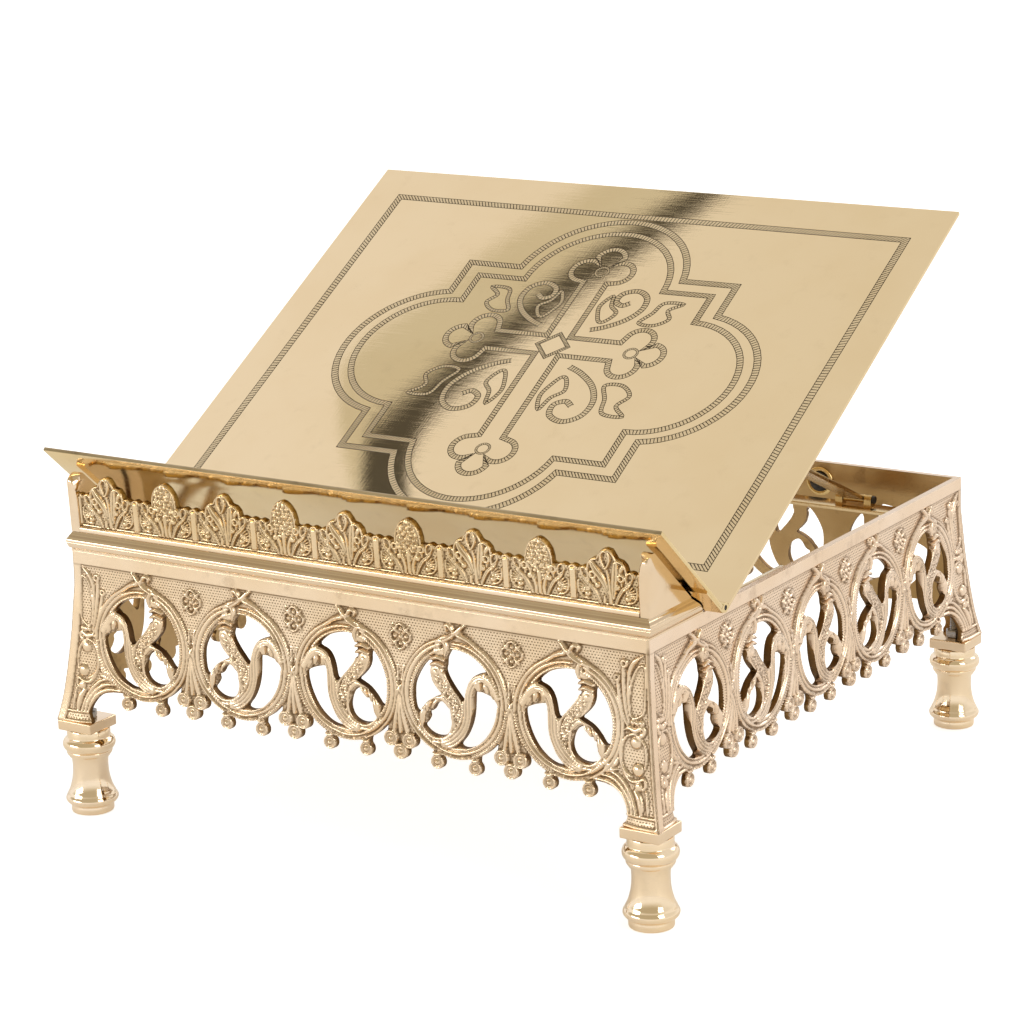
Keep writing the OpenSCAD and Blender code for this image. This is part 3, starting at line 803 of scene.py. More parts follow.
TM = table(FZ[::-1], F_MID[::-1], 36, 130, 2.5)
TL = table(FZ[::-1], F_LEG[::-1], 36, 130, 2.5)
TW = table([-1, 124, 148, 200], [0, 0, 1, 1], 0, 190, 2.5)


def leg(z):
    """Outward flare at the corners at a height."""
    return np.interp(z, *TL)


def dz(x, z):
    """Outward flare of a panel."""
    m = np.interp(z, *TM)
    return m + (leg(z) - m) * np.interp(np.abs(x), *TW)


def panel_place(x, z, h):
    d = dz(x, z)
    sz = dz(x, z + 0.5) - dz(x, z - 0.5)
    sx = dz(x + 0.5, z) - dz(x - 0.5, z)
    n = np.sqrt(1 + sz * sz + sx * sx)
    return np.stack([x - h * sx / n, -(B + d) - h / n, z - h * sz / n], 1)


def panel_back(x, z):
    d = dz(x, z)
    lim = B + d - T - 0.15
    return np.stack([np.clip(x, -lim, lim), -(B + d) + T, z], 1)


def on_ring(pts):
    """Drawing coordinates of a roundel to its own."""
    return [(u + 0.4 - 0.075 * max(0.0, -v), v + 0.6 + float(np.interp(v, [-29, -22, -10, 0, 24], [-0.9, -0.6, -0.15, 0.15, 0.2])))
            for u, v in pts]


def arc(r0, r1, a0, a1, n=9):
    """Points on a spiral between two angles in degrees."""
    t = np.linspace(0, 1, n)
    a = np.radians(a0 + (a1 - a0) * t)
    r = r0 + (r1 - r0) * t
    return list(zip(r * np.cos(a), r * np.sin(a)))


def scroll(R):
    """What fills a roundel: a hooked stem at the left, a pebbled branch that ends in a
    bud above, and a loop with a leaf at the lower right. Local frame: ring centre."""
    g = -1.5
    R.hole([(-21.0, 1.6), (-17.6, 3.4), (-14, 4.5), (-11, 5.2), (-9.8, 4.2), (-9.6, 0), (-9.1, -5.5), (-7.8, -10.5), (-5.4, -15.5),
            (-2.2, -19.8), (-3.4, -21.0), (-6.5, -21.0), (-11, -19.0), (-15.5, -14.9), (-18.8, -9.5), (-20.8, -4), (-21.4, 0)], smooth=4)
    R.hole([(-14.9, 14.0), (-12, 17.3), (-8, 19.8), (-3, 21.2), (1.6, 21.7), (2.8, 20.9), (4.0, 19.0), (4.8, 17), (4.9, 14.2), (5.3, 12.0),
            (4, 9), (1.5, 5.6), (-1.5, 2.2), (-3.6, 0), (-5, 0.1), (-5.8, 1.9), (-6.6, 5.6), (-8.2, 9.5), (-10.8, 12.2)], smooth=4)
    R.hole([(13.2, 15.4), (14.4, 14.9), (17, 12), (19.5, 7.8), (21.1, 3.5), (21.4, -2), (20.8, -6.6), (19.4, -8.4), (17.8, -8.0),
            (15.2, -4.6), (12, -1.5), (8.4, 0.4), (6.1, 1.5), (7.4, 2.7), (9.6, 4.9), (11.5, 7.5), (12.4, 10.5), (12.4, 13.6)], smooth=4)
    R.hole([(7.8, -2.2), (5.4, -2.9), (3.2, -4.8), (1.8, -8.5), (1.6, -12), (3.1, -15.4), (6, -17.3), (9.5, -17.8), (13, -16.9),
            (16.2, -14.3), (14.7, -12.2), (13.4, -9.7), (13.8, -7.7), (12, -6.9), (10.8, -5.7), (9.6, -3.6)], smooth=4)
    # hooked stem with parallel reeds
    stem = on_ring([(7.5, -20.6), (3.5, -19.3), (-0.8, -16.2), (-4.4, -12), (-6.4, -7), (-6.9, -2), (-7.3, 2.6), (-8.6, 6.6), (-11, 9.6),
                    (-14.4, 11), (-17.8, 9.8), (-20.6, 6.4), (-22.8, 2.6)])
    sw = [1.6, 2.6, 3.0, 3.1, 2.9, 2.8, 2.7, 2.6, 2.4, 2.1, 1.7, 1.5, 1.3]
    R.stroke(stem, sw, [1.2, 1.8, 2.1, 2.2, 2.2, 2.2, 2.2, 2.2, 2.2, 2.1, 2.0, 1.8, 1.4], base=g, flat=0.25)
    for q, hw, up in ((-0.78, 0.5, 0.75), (-0.26, 0.62, 0.85), (0.26, 0.62, 0.85), (0.78, 0.5, 0.75)):
        R.stroke(R.beside(stem, sw, q), hw, up, base=g + 1.75, notch=0.5 if q < -0.5 else 0.0, pitch=1.3)
    # petals of the hook's head
    R.stroke(on_ring([(-12.6, 10.2), (-11.8, 8.2), (-12.4, 5.6)]), [1.7, 2.2, 1.5], [2.3, 2.7, 2.1], base=g)
    R.stroke(on_ring([(-16.2, 9.4), (-16.2, 7.4), (-16.8, 4.9)]), [1.3, 1.7, 1.1], [2.1, 2.5, 1.9], base=g)
    R.stroke(on_ring([(-19.0, 7.4), (-19.4, 5.2), (-20.2, 2.8)]), [1.1, 1.5, 1.0], [1.9, 2.3, 1.7], base=g)
    R.stroke(on_ring([(-21.2, 4.2), (-22.2, 1.8), (-22.6, -0.6)]), [1.0, 1.3, 0.8], [1.7, 2.0, 1.5], base=g)
    # pebbled branch between two thin edges
    br = on_ring([(-1.2, -12.6), (-1.6, -8.4), (-0.6, -3.8), (1.8, 0.6), (4.8, 4.2), (7.6, 7.4), (9.2, 10.4)])
    bw = [1.3, 2.5, 3.0, 3.1, 3.2, 3.4, 3.2]
    R.stroke(br, bw, [0.9, 1.1, 1.2, 1.3, 1.3, 1.5, 1.8], base=g, flat=0.7)
    R.pebbles(br, [0.8, 1.9, 2.3, 2.4, 2.4, 2.0, 0.6], 0.8, pitch=1.6, r=0.72)
    R.stroke(on_ring([(-4.1, -8.5), (-3.9, -4), (-3.4, -1), (-0.6, 2.6), (3.2, 7), (5.2, 10.2)]), [0.4, 0.6, 0.65, 0.7, 0.7, 0.5], 2.0, base=g)
    R.stroke(on_ring([(0.6, -9), (1.6, -5.4), (3.2, -2.6), (6.6, 1.6), (10, 5.4), (11.4, 9.2)]), [0.4, 0.6, 0.65, 0.65, 0.65, 0.5], 2.0, base=g)
    R.dome(9.5, 10.9, 2.7, 2.4, base=g)
    # collar and curled bud
    R.stroke(on_ring([(5.2, 13.0), (8.2, 14.1), (11.8, 13.0)]), [0.8, 1.15, 0.8], [2.4, 3.0, 2.4], base=g)
    R.stroke(on_ring([(4.9, 15.6), (8, 16.7), (11.6, 15.6)]), [0.8, 1.15, 0.8], [2.5, 3.1, 2.5], base=g)
    R.plateau(on_ring([(4.8, 17.6), (4.0, 20.2), (4.6, 22.6), (6.6, 24.2), (9.2, 23.8), (10.8, 21.4), (11.2, 18), (8, 16.8)]), 1.4, bevel=1.4, base=g)
    R.stroke(on_ring([(4.6, 17.8), (3.9, 20.8), (4.9, 23.4), (7.2, 24.2), (9.0, 22.8), (8.4, 21.0)]), [0.9, 1.2, 1.3, 1.3, 1.1, 0.8],
             [2.0, 2.4, 2.5, 2.4, 2.2, 1.9], base=g)
    R.pit([(6.4, 21.4), (7.8, 21.4), (7.9, 22.9), (6.5, 23.0)], -1.1, bevel=0.5, ground=False)
    # loop: two ridges along the left, a smooth band above, leaf lobes at the right
    R.stroke(on_ring([(2.0, -3.4), (1.4, -8), (1.6, -12), (4, -16.4), (8.4, -18.6), (13, -18.4), (18, -16)]), [0.6, 0.9, 1.0, 1.0, 1.0, 0.9, 0.5],
             [1.6, 2.0, 2.1, 2.1, 2.1, 2.0, 1.5], base=g)
    R.stroke(on_ring([(0.4, -11), (1.2, -15), (4.4, -18.6), (9, -20.4), (14, -20)]), [0.5, 0.8, 0.9, 0.9, 0.5], [1.5, 1.9, 2.0, 2.0, 1.5], base=g)
    R.stroke(on_ring([(2.4, -4.2), (4.8, -1.4), (8.6, -0.4), (12, -1.2), (15.4, -3.4), (18.6, -8)]), [1.0, 1.5, 1.7, 1.9, 2.0, 1.4],
             [1.8, 2.2, 2.4, 2.5, 2.5, 2.0], base=g, flat=0.2)
    R.stroke(on_ring([(2.0, -1.6), (5.4, 0.6), (9.4, 1.0), (13.4, -0.8), (17, -3.8), (19.6, -7.4)]), [0.4, 0.6, 0.6, 0.6, 0.6, 0.4], 2.5, base=g)
    R.stroke(on_ring([(8, -1.5), (9.6, -3.8), (11.2, -5.8)]), [1.0, 1.6, 0.9], [2.2, 2.8, 2.0], base=g)
    R.stroke(on_ring([(12.4, -2.4), (13.6, -5), (13.8, -7.4)]), [1.1, 1.6, 0.8], [2.3, 2.8, 2.0], base=g)
    R.stroke(on_ring([(15.6, -5.4), (16.4, -9.4), (17.0, -13.4), (16.4, -14.8)]), [1.2, 2.0, 1.8, 0.8], [2.2, 2.9, 2.6, 1.8], base=g)


def roundel(R):
    """The band of a roundel: separate ridges, some plain and some notched."""
    b = -1.0
    sl, U, V = R._win((0, 0), (0, 0), 28)
    rr = np.hypot(U, V)
    R.H[sl] = np.where(rr < 27.2, np.where(rr < 20.8, -1.9, b), R.H[sl])
    R.G[sl] = np.where(rr < 27.2, 0.0, R.G[sl])
    scroll(R)
    # upper left, plain
    R.stroke(arc(26.3, 26.2, 181, 118) + [(-7.2, 26.2), (-4.4, 27.6), (-3.0, 29.2)], [0.7, 1.0, 1.0, 1.0, 0.9, 0.6], 1.6, base=b)
    R.stroke(arc(24.1, 24.4, 182, 96) + [(1.5, 24.3)], [0.8, 0.85, 0.85, 0.5], 1.35, base=b)
    R.stroke(arc(22.0, 22.2, 176, 84), [0.7, 0.8, 0.8, 0.5], 1.2, base=b, notch=0.25, pitch=1.5)
    # right: thin outer edge, wide plain band, notched ribbon inside
    R.stroke([(0.8, 29.8), (3.0, 27.6), (6.6, 26.3)] + arc(26.5, 26.4, 70, -50), [0.6, 0.8, 0.75, 0.75, 0.75], 1.5, base=b)
    R.stroke(arc(24.5, 24.5, 72, -42), [0.7, 1.15, 1.2, 1.2, 1.15, 0.7], 1.5, base=b, flat=0.25)
    R.stroke(arc(22.2, 22.3, 74, -40), [0.7, 1.0, 1.05, 1.05, 0.9], 1.4, base=b, notch=0.55, pitch=1.25)
    # lower left: notched outside, plain inside
    R.stroke(arc(26.0, 26.0, 183, 251), [1.0, 1.25, 1.25, 1.25, 1.1], 1.6, base=b, notch=0.6, pitch=1.25)
    R.stroke(arc(23.7, 23.9, 180, 262), [0.7, 0.95, 0.95, 0.8], 1.4, base=b)
    R.stroke(arc(21.7, 22.0, 182, 268), [0.5, 0.75, 0.75, 0.6], 1.2, base=b)
    # bottom: two plain ridges over a beaded edge
    R.stroke(arc(22.2, 22.2, 250, 292), [0.5, 0.8, 0.8, 0.5], 1.2, base=b)
    R.stroke(arc(24.2, 24.2, 254, 288), [0.5, 0.8, 0.8, 0.5], 1.35, base=b)
    R.stroke([(-7.4, -25.9), (-3.6, -26.6), (1.0, -26.8), (5.4, -26.4), (9.2, -25.4)], [0.8, 1.05, 1.1, 1.05, 0.8], 1.5, base=b, notch=0.65, pitch=1.5)
    # lower right: two ridges that end in a point
    R.stroke([(5.6, -23.9)] + arc(24.0, 23.6, 293, 322), [0.35, 0.9, 1.15, 1.2], [1.0, 1.6, 1.7, 1.6], base=b, notch=0.3, pitch=1.3)
    R.stroke(arc(21.4, 21.6, 290, 326), [0.4, 0.8, 0.9, 0.7], [1.0, 1.5, 1.6, 1.4], base=b)
    R.stroke(arc(26.2, 26.4, 294, 330), [0.5, 0.8, 0.8, 0.6], 1.4, base=b)


def tie(R):
    """Crossed horns over a roundel."""
    g = -0.9
    R.stroke([(-9.5, 25.3), (-4.6, 27.6), (-1.6, 28.6), (-2.2, 30.8), (-4.8, 33.0)], [0.6, 1.1, 1.3, 1.1, 0.6], [1.2, 1.8, 2.2, 2.0, 1.3], base=g)
    R.stroke([(-3.4, 32.6), (-1.2, 30.2), (1.2, 27.6), (5.4, 25.2), (9.4, 23.9)], [0.6, 0.9, 1.0, 0.9, 0.5], [1.6, 2.3, 2.4, 2.1, 1.4], base=g)
    R.stroke([(0.6, 29.6), (2.8, 32.3), (4.8, 31.6), (4.4, 29.8)], [0.9, 1.2, 1.0, 0.6], [1.9, 2.3, 2.0, 1.5], base=g)
    R.dome(0.2, 29.4, 1.3, 2.5, base=g)


def quatrefoil(R, cx, cz):
    R.place(cx, cz)
    g = R.g0
    for a, b in ((0, 3.1), (2.9, 0), (0, -3.1), (-2.9, 0)):
        R.ring(a, b, 1.9, 2.85, 1.3, base=g)
        R.dome(a, b, 0.95, 1.1, base=g)
    # the rings open towards the middle
    R.pit([(-1.9, -1.9), (1.9, -1.9), (1.9, 1.9), (-1.9, 1.9)], g + 0.3, bevel=0.7, ground=False)
    R.dome(0, 0, 1.1, 1.3, base=g)
    for a in (45, 135, 225, 315):
        c, s = math.cos(math.radians(a)), math.sin(math.radians(a))
        R.stroke([(2.4 * c, 2.5 * s), (4.4 * c, 4.7 * s), (6.3 * c, 6.8 * s)], [0.6, 0.7, 0.15], [1.1, 1.5, 0.8])


def boss(R, x, z, r, up=0.0):
    """Flat disc with a raised rim and a pellet, set off by a dark ring."""
    b = -1.0 + up
    R.dome(x, z, r, 0.35, base=b + 0.25)
    R.ring(x, z, r - 1.05, r, 1.35, base=b)
    R.dome(x, z, 1.35, 1.65, base=b)


def end_bay(R, m):
    """Leaves, cartouches and the reeded arch between the last roundel and the corner."""
    R.place(0, 0, m)

    def at(*pts):
        return [(x if m > 0 else 131 + (x - 131) * 0.92, z) for x, z in pts]

    def knob(x, z, r, h, ring=0.0):
        R.dome(at((x, z))[0][0], z, r, h, ring=ring)
    # tulip that rises to the top corner
    R.stroke(at((142.2, 87.4), (140.4, 90), (138.6, 94.5), (137.4, 100), (136.4, 105.8)), [0.6, 0.9, 1.0, 0.95, 0.8], [1.1, 1.4, 1.5, 1.5, 1.3])
    R.ring(at((136.0, 107.4))[0][0], 107.4, 0.5, 1.7, 1.5)
    R.stroke(at((142.4, 89), (140.9, 94), (139.9, 100), (139.2, 107), (139.0, 111.6)), [0.5, 0.9, 1.0, 1.0, 0.9], [1.1, 1.5, 1.7, 1.7, 1.5])
    R.ring(at((139.6, 113.8))[0][0], 113.8, 0.5, 2.0, 1.8)
    R.stroke(at((142.6, 92), (141.8, 99), (141.5, 105), (141.1, 110.6)), [0.4, 0.7, 0.7, 0.5], [1.0, 1.4, 1.4, 1.1])
    R.stroke(at((141.9, 106.6), (142.3, 111.0), (144.4, 115.0), (148.6, 118.2)), [0.5, 1.0, 1.1, 0.3], [1.4, 1.9, 2.0, 1.0])
    # upper cartouche
    R.stroke(at((148.4, 113.9), (146, 112.6), (143.8, 108.5), (142.5, 103), (142.3, 97), (143.0, 92.6), (144.8, 91.2), (147.6, 92.3), (149.3, 94.4),
                (149.7, 98), (149.8, 106), (149.5, 112)), 0.5, 1.3, closed=True)
    # scroll between the cartouches
    R.stroke(at((140.2, 85.8), (142.6, 86.9), (145.8, 86.2), (148.8, 87.6), (149.9, 85.8), (148.9, 84.2)), [0.3, 1.0, 1.3, 1.2, 0.9, 0.6],
             [1.0, 1.7, 2.0, 1.9, 1.7, 1.4])
    for x, z, r in ((144.4, 89.6, 1.35), (146.4, 89.4, 1.3), (148.5, 89.6, 1.35)):
        knob(x, z, r, 1.9)
    knob(148.7, 84.6, 1.2, 1.9, 0.3)
    # lower cartouche with a knob above and a pearl below
    R.stroke(at((142.2, 84.0), (139.6, 80.4), (138.7, 75.4), (139.4, 71), (141.8, 68), (144.6, 66.7)), [0.5, 0.75, 0.8, 0.8, 0.8, 0.6], 1.5)
    R.stroke(at((141.6, 83.4), (145.4, 84.6), (148.6, 82.6), (150.6, 79.6), (151.3, 74.6), (150.8, 70.4)), [0.4, 0.6, 0.65, 0.6, 0.55, 0.4], 1.35)
    knob(146.0, 81.2, 2.7, 2.1)
    knob(147.6, 69.9, 2.8, 2.3)
    R.stroke(at((139.8, 70.4), (141.6, 67.0), (144.6, 64.8), (148.0, 65.2), (150.8, 66.4), (151.5, 63.6), (150.2, 61.6)),
             [0.4, 0.8, 0.9, 0.7, 0.7, 0.7, 0.5], [1.1, 1.5, 1.6, 1.5, 1.5, 1.5, 1.3])
    knob(148.3, 62.9, 2.0, 1.9, 0.15)
    R.stroke(at((146.6, 61.0), (148.8, 58), (150.0, 54), (150.2, 51.2)), [0.9, 1.6, 1.5, 0.7], [1.6, 2.0, 1.9, 1.3])
    R.stroke(at((152.0, 61.4), (152.8, 57), (153.4, 52.0)), [0.5, 0.8, 0.5], [1.1, 1.4, 1.1])
    # reeded arch
    for pts in ([(125.6, 62.3), (130.4, 62.4), (135, 61.6), (139.8, 58.9), (142.8, 54.8), (144.1, 50.6)],
                [(129.6, 64.8), (133.8, 64.6), (137.6, 63.2), (141.8, 59.6), (144.8, 55), (145.9, 50.8)],
                [(134.0, 66.9), (137.4, 66.0), (141.4, 63.0), (144.8, 58.6), (146.9, 54), (147.8, 50.8)]):
        R.stroke(at(*pts), [0.5, 0.85, 0.95, 0.95, 0.9, 0.7], 1.6)
    # small leaf over the arch
    for pts in ([(130.8, 67.6), (132.8, 69.6), (135.2, 70.4)], [(133.8, 68.6), (136.2, 70.6), (137.6, 73.4)], [(131.6, 66.4), (134.4, 67.8), (137.4, 68.4)]):
        R.stroke(at(*pts), [0.5, 1.0, 0.4], [1.1, 1.6, 1.0])
    # stippled foot of the leg between two thin edges
    R.stroke([(141.6, 50.7), (156.6, 50.7)], 0.5, 1.4)
    R.stroke([(140.6, 46.1), (160.0, 46.1)], 0.7, 1.5)


def panel_relief():
    st = 0.42
    xs = np.arange(0, 161.3, st)
    xs = np.concatenate([-xs[:0:-1], xs])
    zs = np.concatenate([np.arange(44.8, 119.6, st), [119.9, 120.3, 121.2, 122.6, 124.0, 124.9, 125.2, 125.4, 125.8]])
    R = Relief(xs, zs, -1.1)
    X, Z = R.X, R.Z
    # solid outline
    R.area([(-170, RZ), (170, RZ), (170, RIM + 30), (-170, RIM + 30)])
    for k in range(-2, 3):
        R.place(0, 0)
        R.disc(k * PITCH, RZ, 26.8)
    for k in range(-2, 2):
        c = (k + 0.5) * PITCH
        R.area([(c - 4.0, RZ + 2), (c + 4.0, RZ + 2), (c + 7.4, 66.8), (c + 4, 60.4), (c - 4, 60.4), (c - 7.4, 66.8)])
        for a, b, r in ((-4.8, 63.9, 3.55), (4.8, 63.9, 3.55), (0, 58.5, 3.6)):
            R.disc(c + a, b, r)
    for k in range(-2, 3):
        for s in (-1, 1):
            c = k * PITCH + s * 9.7
            R.area([(c - 1.7, 57.4), (c + 1.7, 57.4), (c + 2.2, 63), (c - 2.2, 63)])
            R.disc(c, 56.5, 3.25)
    for m in (-1, 1):
        R.place(0, 0, m)
        R.area([(116, RZ + 2), (116, 62.6), (121.4, 61.4), (124.2, 60.9), (127.2, 61.0), (130.4, 60.9), (134.6, 60.2), (137.4, 58.9),
                (139.6, 57.0), (141.4, 54.4), (142.6, 51.8), (142.8, 50), (142.4, 48.2), (141.4, 46.7), (141.0, 44), (170, 44), (170, RZ + 2)])
    R.place(0, 0)
    # roundels with their ties
    for k in range(-2, 3):
        R.place(k * PITCH, RZ, 1 if k % 2 == 0 else -1)
        roundel(R)
    for k in range(-2, 3):
        R.place(k * PITCH, RZ, 1 if k % 2 == 0 else -1)
        tie(R)
    # drops under the roundels
    for k in range(-2, 3):
        R.place(k * PITCH, 0)
        for s in (-1, 1):
            R.stroke([(s * 9.7 - 2.0, 60.6), (s * 9.7, 59.9), (s * 9.7 + 2.0, 60.6)], 0.6, 1.5, base=-0.9)
            boss(R, s * 9.7, 56.5, 3.25)
    # fans, trefoils and quatrefoils between them
    for k in range(-2, 2):
        R.place((k + 0.5) * PITCH, 0)
        for s in (-1, 0, 1):
            R.stroke([(s * 0.5, 85.0), (s * 1.3, 78.0), (s * 2.5, 71.6), (s * 3.5, 67.2)], [0.5, 0.95, 1.25, 1.0], [1.0, 1.6, 1.9, 1.5])
        for s in (-1, 1):
            R.stroke([(-s * 1.4, 89.6), (s * 0.2, 86.6), (s * 1.8, 83.0)], [0.4, 0.9, 0.5], [1.0, 1.8, 1.0])
            R.stroke([(s * 1.6, 96.5), (s * 0.9, 90.5)], [0.4, 0.5], [0.6, 1.0])
        for a, b, r in ((-4.8, 63.9, 3.55), (4.8, 63.9, 3.55), (0, 58.5, 3.6)):
            boss(R, a, b, r, up=0.7)
        quatrefoil(R, (k + 0.5) * PITCH, 109.8)
    for m in (-1, 1):
        end_bay(R, m)
    R.place(0, 0)
    # smooth band under the rim, plain margin at the corners
    lim = B + leg(Z)
    band = Z > 119.35
    R.H = np.where(band, 0.0, R.H)
    R.G = np.where(band, 0.0, R.G)
    margin = lim - np.abs(X)
    soft = np.clip((np.abs(X) - 124) / 8, 0, 1) * np.where(X > 0, 0.22, 0.42) * ~band
    R.H = R.H - (R.H - R.g0) * soft
    mw = np.where(X > 0, 2.2, 4.6)
    mg = margin < mw
    R.H = np.where(mg & ~band, np.maximum(R.H, -0.15 - 0.25 * np.clip(margin - mw + 0.8, 0, 1)), R.H)
    R.G = np.where(mg, 0.0, R.G)
    # outline of the whole
    R.S = np.minimum(R.S, margin - 0.22)
    R.S = np.where(Z > RIM + 0.002, -1000.0, R.S)
    R.S = np.minimum(R.S, Z - 45.25)
    return R


PR = panel_relief()


# extra K for the panel: the dark corner seam, widened and deepened at the right-hand corner as painted shade on the
# rounded edge, and a painted shade line along the step under the plain band
def corner_seam_and_painted_shade(X, Z):
    m = B + leg(Z) - np.abs(X)
    line = np.exp(-((Z - 119.3) / 0.35) ** 2) * 0.35
    w = np.where(X > 0, 1.9, 0.8)
    return np.clip(1.5 - 1.5 * m / w, 0, 1) * np.where(X > 0, 0.8, 0.5) * np.clip((122.5 - Z) / 2.0, 0.2, 1) + line


front = relief_mesh("front_panel_relief", PR, panel_place, panel_back, [M_CAST, M_WALL_SHADE], edge=0.85, edge_drop=0.65,
                    k_gain=1.2, extra_k=corner_seam_and_painted_shade)
print("front panel tris", sum(len(p.vertices) - 2 for p in front.data.polygons))


def panel_backs():
    """Rear skin of a panel, on a coarser grid."""
    st = 0.9
    xs = np.arange(-158.4, 158.41, st)
    zs = np.concatenate([np.arange(45.0, 124.8, st), [125.4, 125.8]])
    R = Relief(xs, zs, 0)
    from_x = np.clip(np.searchsorted(PR.xs, xs), 1, len(PR.xs) - 1)
    from_z = np.clip(np.searchsorted(PR.zs, zs), 1, len(PR.zs) - 1)
    tx = (xs - PR.xs[from_x - 1]) / (PR.xs[from_x] - PR.xs[from_x - 1])
    tz = (zs - PR.zs[from_z - 1]) / (PR.zs[from_z] - PR.zs[from_z - 1])
    S = PR.S
    A = S[from_z - 1][:, from_x - 1] * (1 - tx) + S[from_z - 1][:, from_x] * tx
    C = S[from_z][:, from_x - 1] * (1 - tx) + S[from_z][:, from_x] * tx
    R.S = A * (1 - tz[:, None]) + C * tz[:, None]
    R.S = np.minimum(R.S, B + leg(R.Z) - T - 0.1 - np.abs(R.X))
    R.G[:] = 0
    return relief_mesh("front_panel_inner", R, lambda x, z, h: panel_back(x, z), panel_back, [M_BACK], edge=0.01, edge_drop=0,
                       wall=False, flip=True, k_gain=0)


inner = panel_backs()
for p in front.data.polygons:
    if p.material_index == 1 and p.center.z > (RIM - 0.1) * MM:
        p.material_index = 0
top_z, top_k = np.zeros(len(front.data.vertices) * 3, np.float32), np.zeros(len(front.data.vertices), np.float32)
front.data.vertices.foreach_get("co", top_z)
front.data.attributes["K"].data.foreach_get("value", top_k)
top_k[top_z[2::3] > (RIM - 0.05) * MM] = 0.12
front.data.attributes["K"].data.foreach_set("value", top_k)
side_mesh = front.data.copy()
side_mesh.materials[0] = M_SIDE_LIT
for nm, ang in (("front", 0), ("right", 90), ("back", 180), ("left", 270)):
    for src, kind in ((front, "relief"), (inner, "inner")):
        if nm == "front":
            ob = src
        else:
            ob = bpy.data.objects.new(f"{nm}_panel_{kind}", side_mesh if kind == "relief" else src.data)
            COL.objects.link(ob)
        ob.matrix_world = Matrix.Rotation(math.radians(ang), 4, "Z")
        ride(ob, "base", "cast_brass", f"{nm}_panel")

# ---------------------------------------------------------------- feet

FOOT = [(0, 0.0), (9.2, 0.0), (9.7, 0.25), (9.9, 0.8), (9.9, 3.1), (9.7, 3.5), (9.75, 3.7), (10.5, 4.1), (11.3, 4.7), (11.9, 5.4),
        (12.2, 6.2), (12.2, 6.9), (11.9, 7.7), (11.4, 8.4), (11.2, 8.7), (11.15, 9.2), (10.6, 10.2), (9.9, 11.8), (9.3, 13.9),
        (8.75, 16.2), (8.42, 18.6), (8.3, 21.0), (8.3, 23.0), (8.42, 25.0), (8.65, 26.3), (8.9, 26.75), (9.5, 26.9), (9.6, 27.2),
        (9.75, 27.6), (10.3, 28.1), (10.6, 28.8), (10.65, 29.4), (10.5, 29.8), (10.9, 30.2), (11.6, 31.0), (12.1, 32.0),
        (12.25, 33.0), (12.1, 34.1), (11.6, 35.1), (11.0, 35.7), (10.75, 35.9), (10.3, 36.1), (10.1, 36.4), (10.05, 37.0),
        (10.1, 39.8), (9.9, 40.2), (9.5, 40.28), (0, 40.28)]
SPOTS = [(sx, sy) for sx in (-1, 1) for sy in (-1, 1)]
feet = []
for n, (sx, sy) in enumerate(SPOTS):
    feet.append(lathe(f"foot{n}", FOOT, M_TURN, seg=96, at=(150 * sx, 150 * sy, 0), sharp=46))
ride(join("turned_feet_v", feet), "base", "turned_brass", "turned_feet")
pads = [rounded(f"pad{n}", (sx * 150.3 - 9.6, sy * 150.3 - 9.6, 40.35), (sx * 150.3 + 9.6, sy * 150.3 + 9.6, 45.2), M_MOULD, 0.55, 3)
        for n, (sx, sy) in enumerate(SPOTS)]
ride(join("leg_pads_v", pads), "base", "cast_brass", "leg_pads")


def thread(name, r, z0, z1, mat, pitch=1.0, at=(0, 0)):
    prof = [(0, z0), (r - 0.5, z0), (r - 0.2, z0 + 0.4)]
    z = z0 + 0.6
    while z < z1 - 0.6:
        prof += [(r, z), (r - 0.34, z + pitch * 0.5)]
        z += pitch
    prof += [(r - 0.3, z1 - 0.3), (r - 0.8, z1), (0, z1)]
    return lathe(name, prof, mat, seg=32, at=(at[0], at[1], 0), sharp=20)


studs = [thread(f"st{n}", 2.45, 38.0, 55.3, M_STEEL, at=(150 * sx, 150 * sy)) for n, (sx, sy) in enumerate(SPOTS)]
ride(join("foot_studs_v", studs), "base", "steel", "foot_studs")
nuts = []
for n, (sx, sy) in enumerate(SPOTS):
    nut = lathe(f"nut{n}", [(2.6, 45.2), (4.0, 45.2), (4.6, 45.7), (4.6, 48.3), (4.0, 48.8), (2.6, 48.8)], M_STEEL, seg=6,
                at=(150 * sx, 150 * sy, 0), closed=True, sharp=20)
    nuts.append(nut)
ride(join("foot_nuts_v", nuts), "base", "steel", "foot_nuts")

# ---------------------------------------------------------------- moulding

MZ = RIM + 11.9
CX = 146.5
MOULD = [(-6.5, 0.0), (0.0, 0.0), (0.0, 0.35), (-0.02, 0.72), (-0.16, 0.8), (-0.24, 1.0), (-0.2, 1.25), (0.15, 1.35), (0.4, 1.5),
         (0.68, 1.8), (0.95, 2.3), (1.15, 2.9), (1.32, 3.5), (1.42, 3.95), (1.36, 4.1), (1.38, 4.25), (1.58, 4.35), (1.67, 4.7),
         (1.68, 5.1), (1.6, 5.45), (1.38, 5.85), (1.05, 6.25), (0.8, 6.6), (0.5, 7.15), (0.18, 7.65), (-0.02, 7.85), (-0.1, 7.95),
         (-0.2, 8.1), (-0.5, 8.65), (-0.72, 8.97), (-1.2, 8.98), (-6.5, 8.98)]
FILLET = [(-6.4, 8.9), (-0.95, 8.9), (-0.78, 9.2), (-0.76, 9.5), (-0.76, 10.75), (-0.82, 11.0), (-1.0, 11.3), (-1.35, 11.5), (-1.6, 11.6),
          (-1.72, 11.7), (-1.8, 11.88), (-6.4, 11.88)]


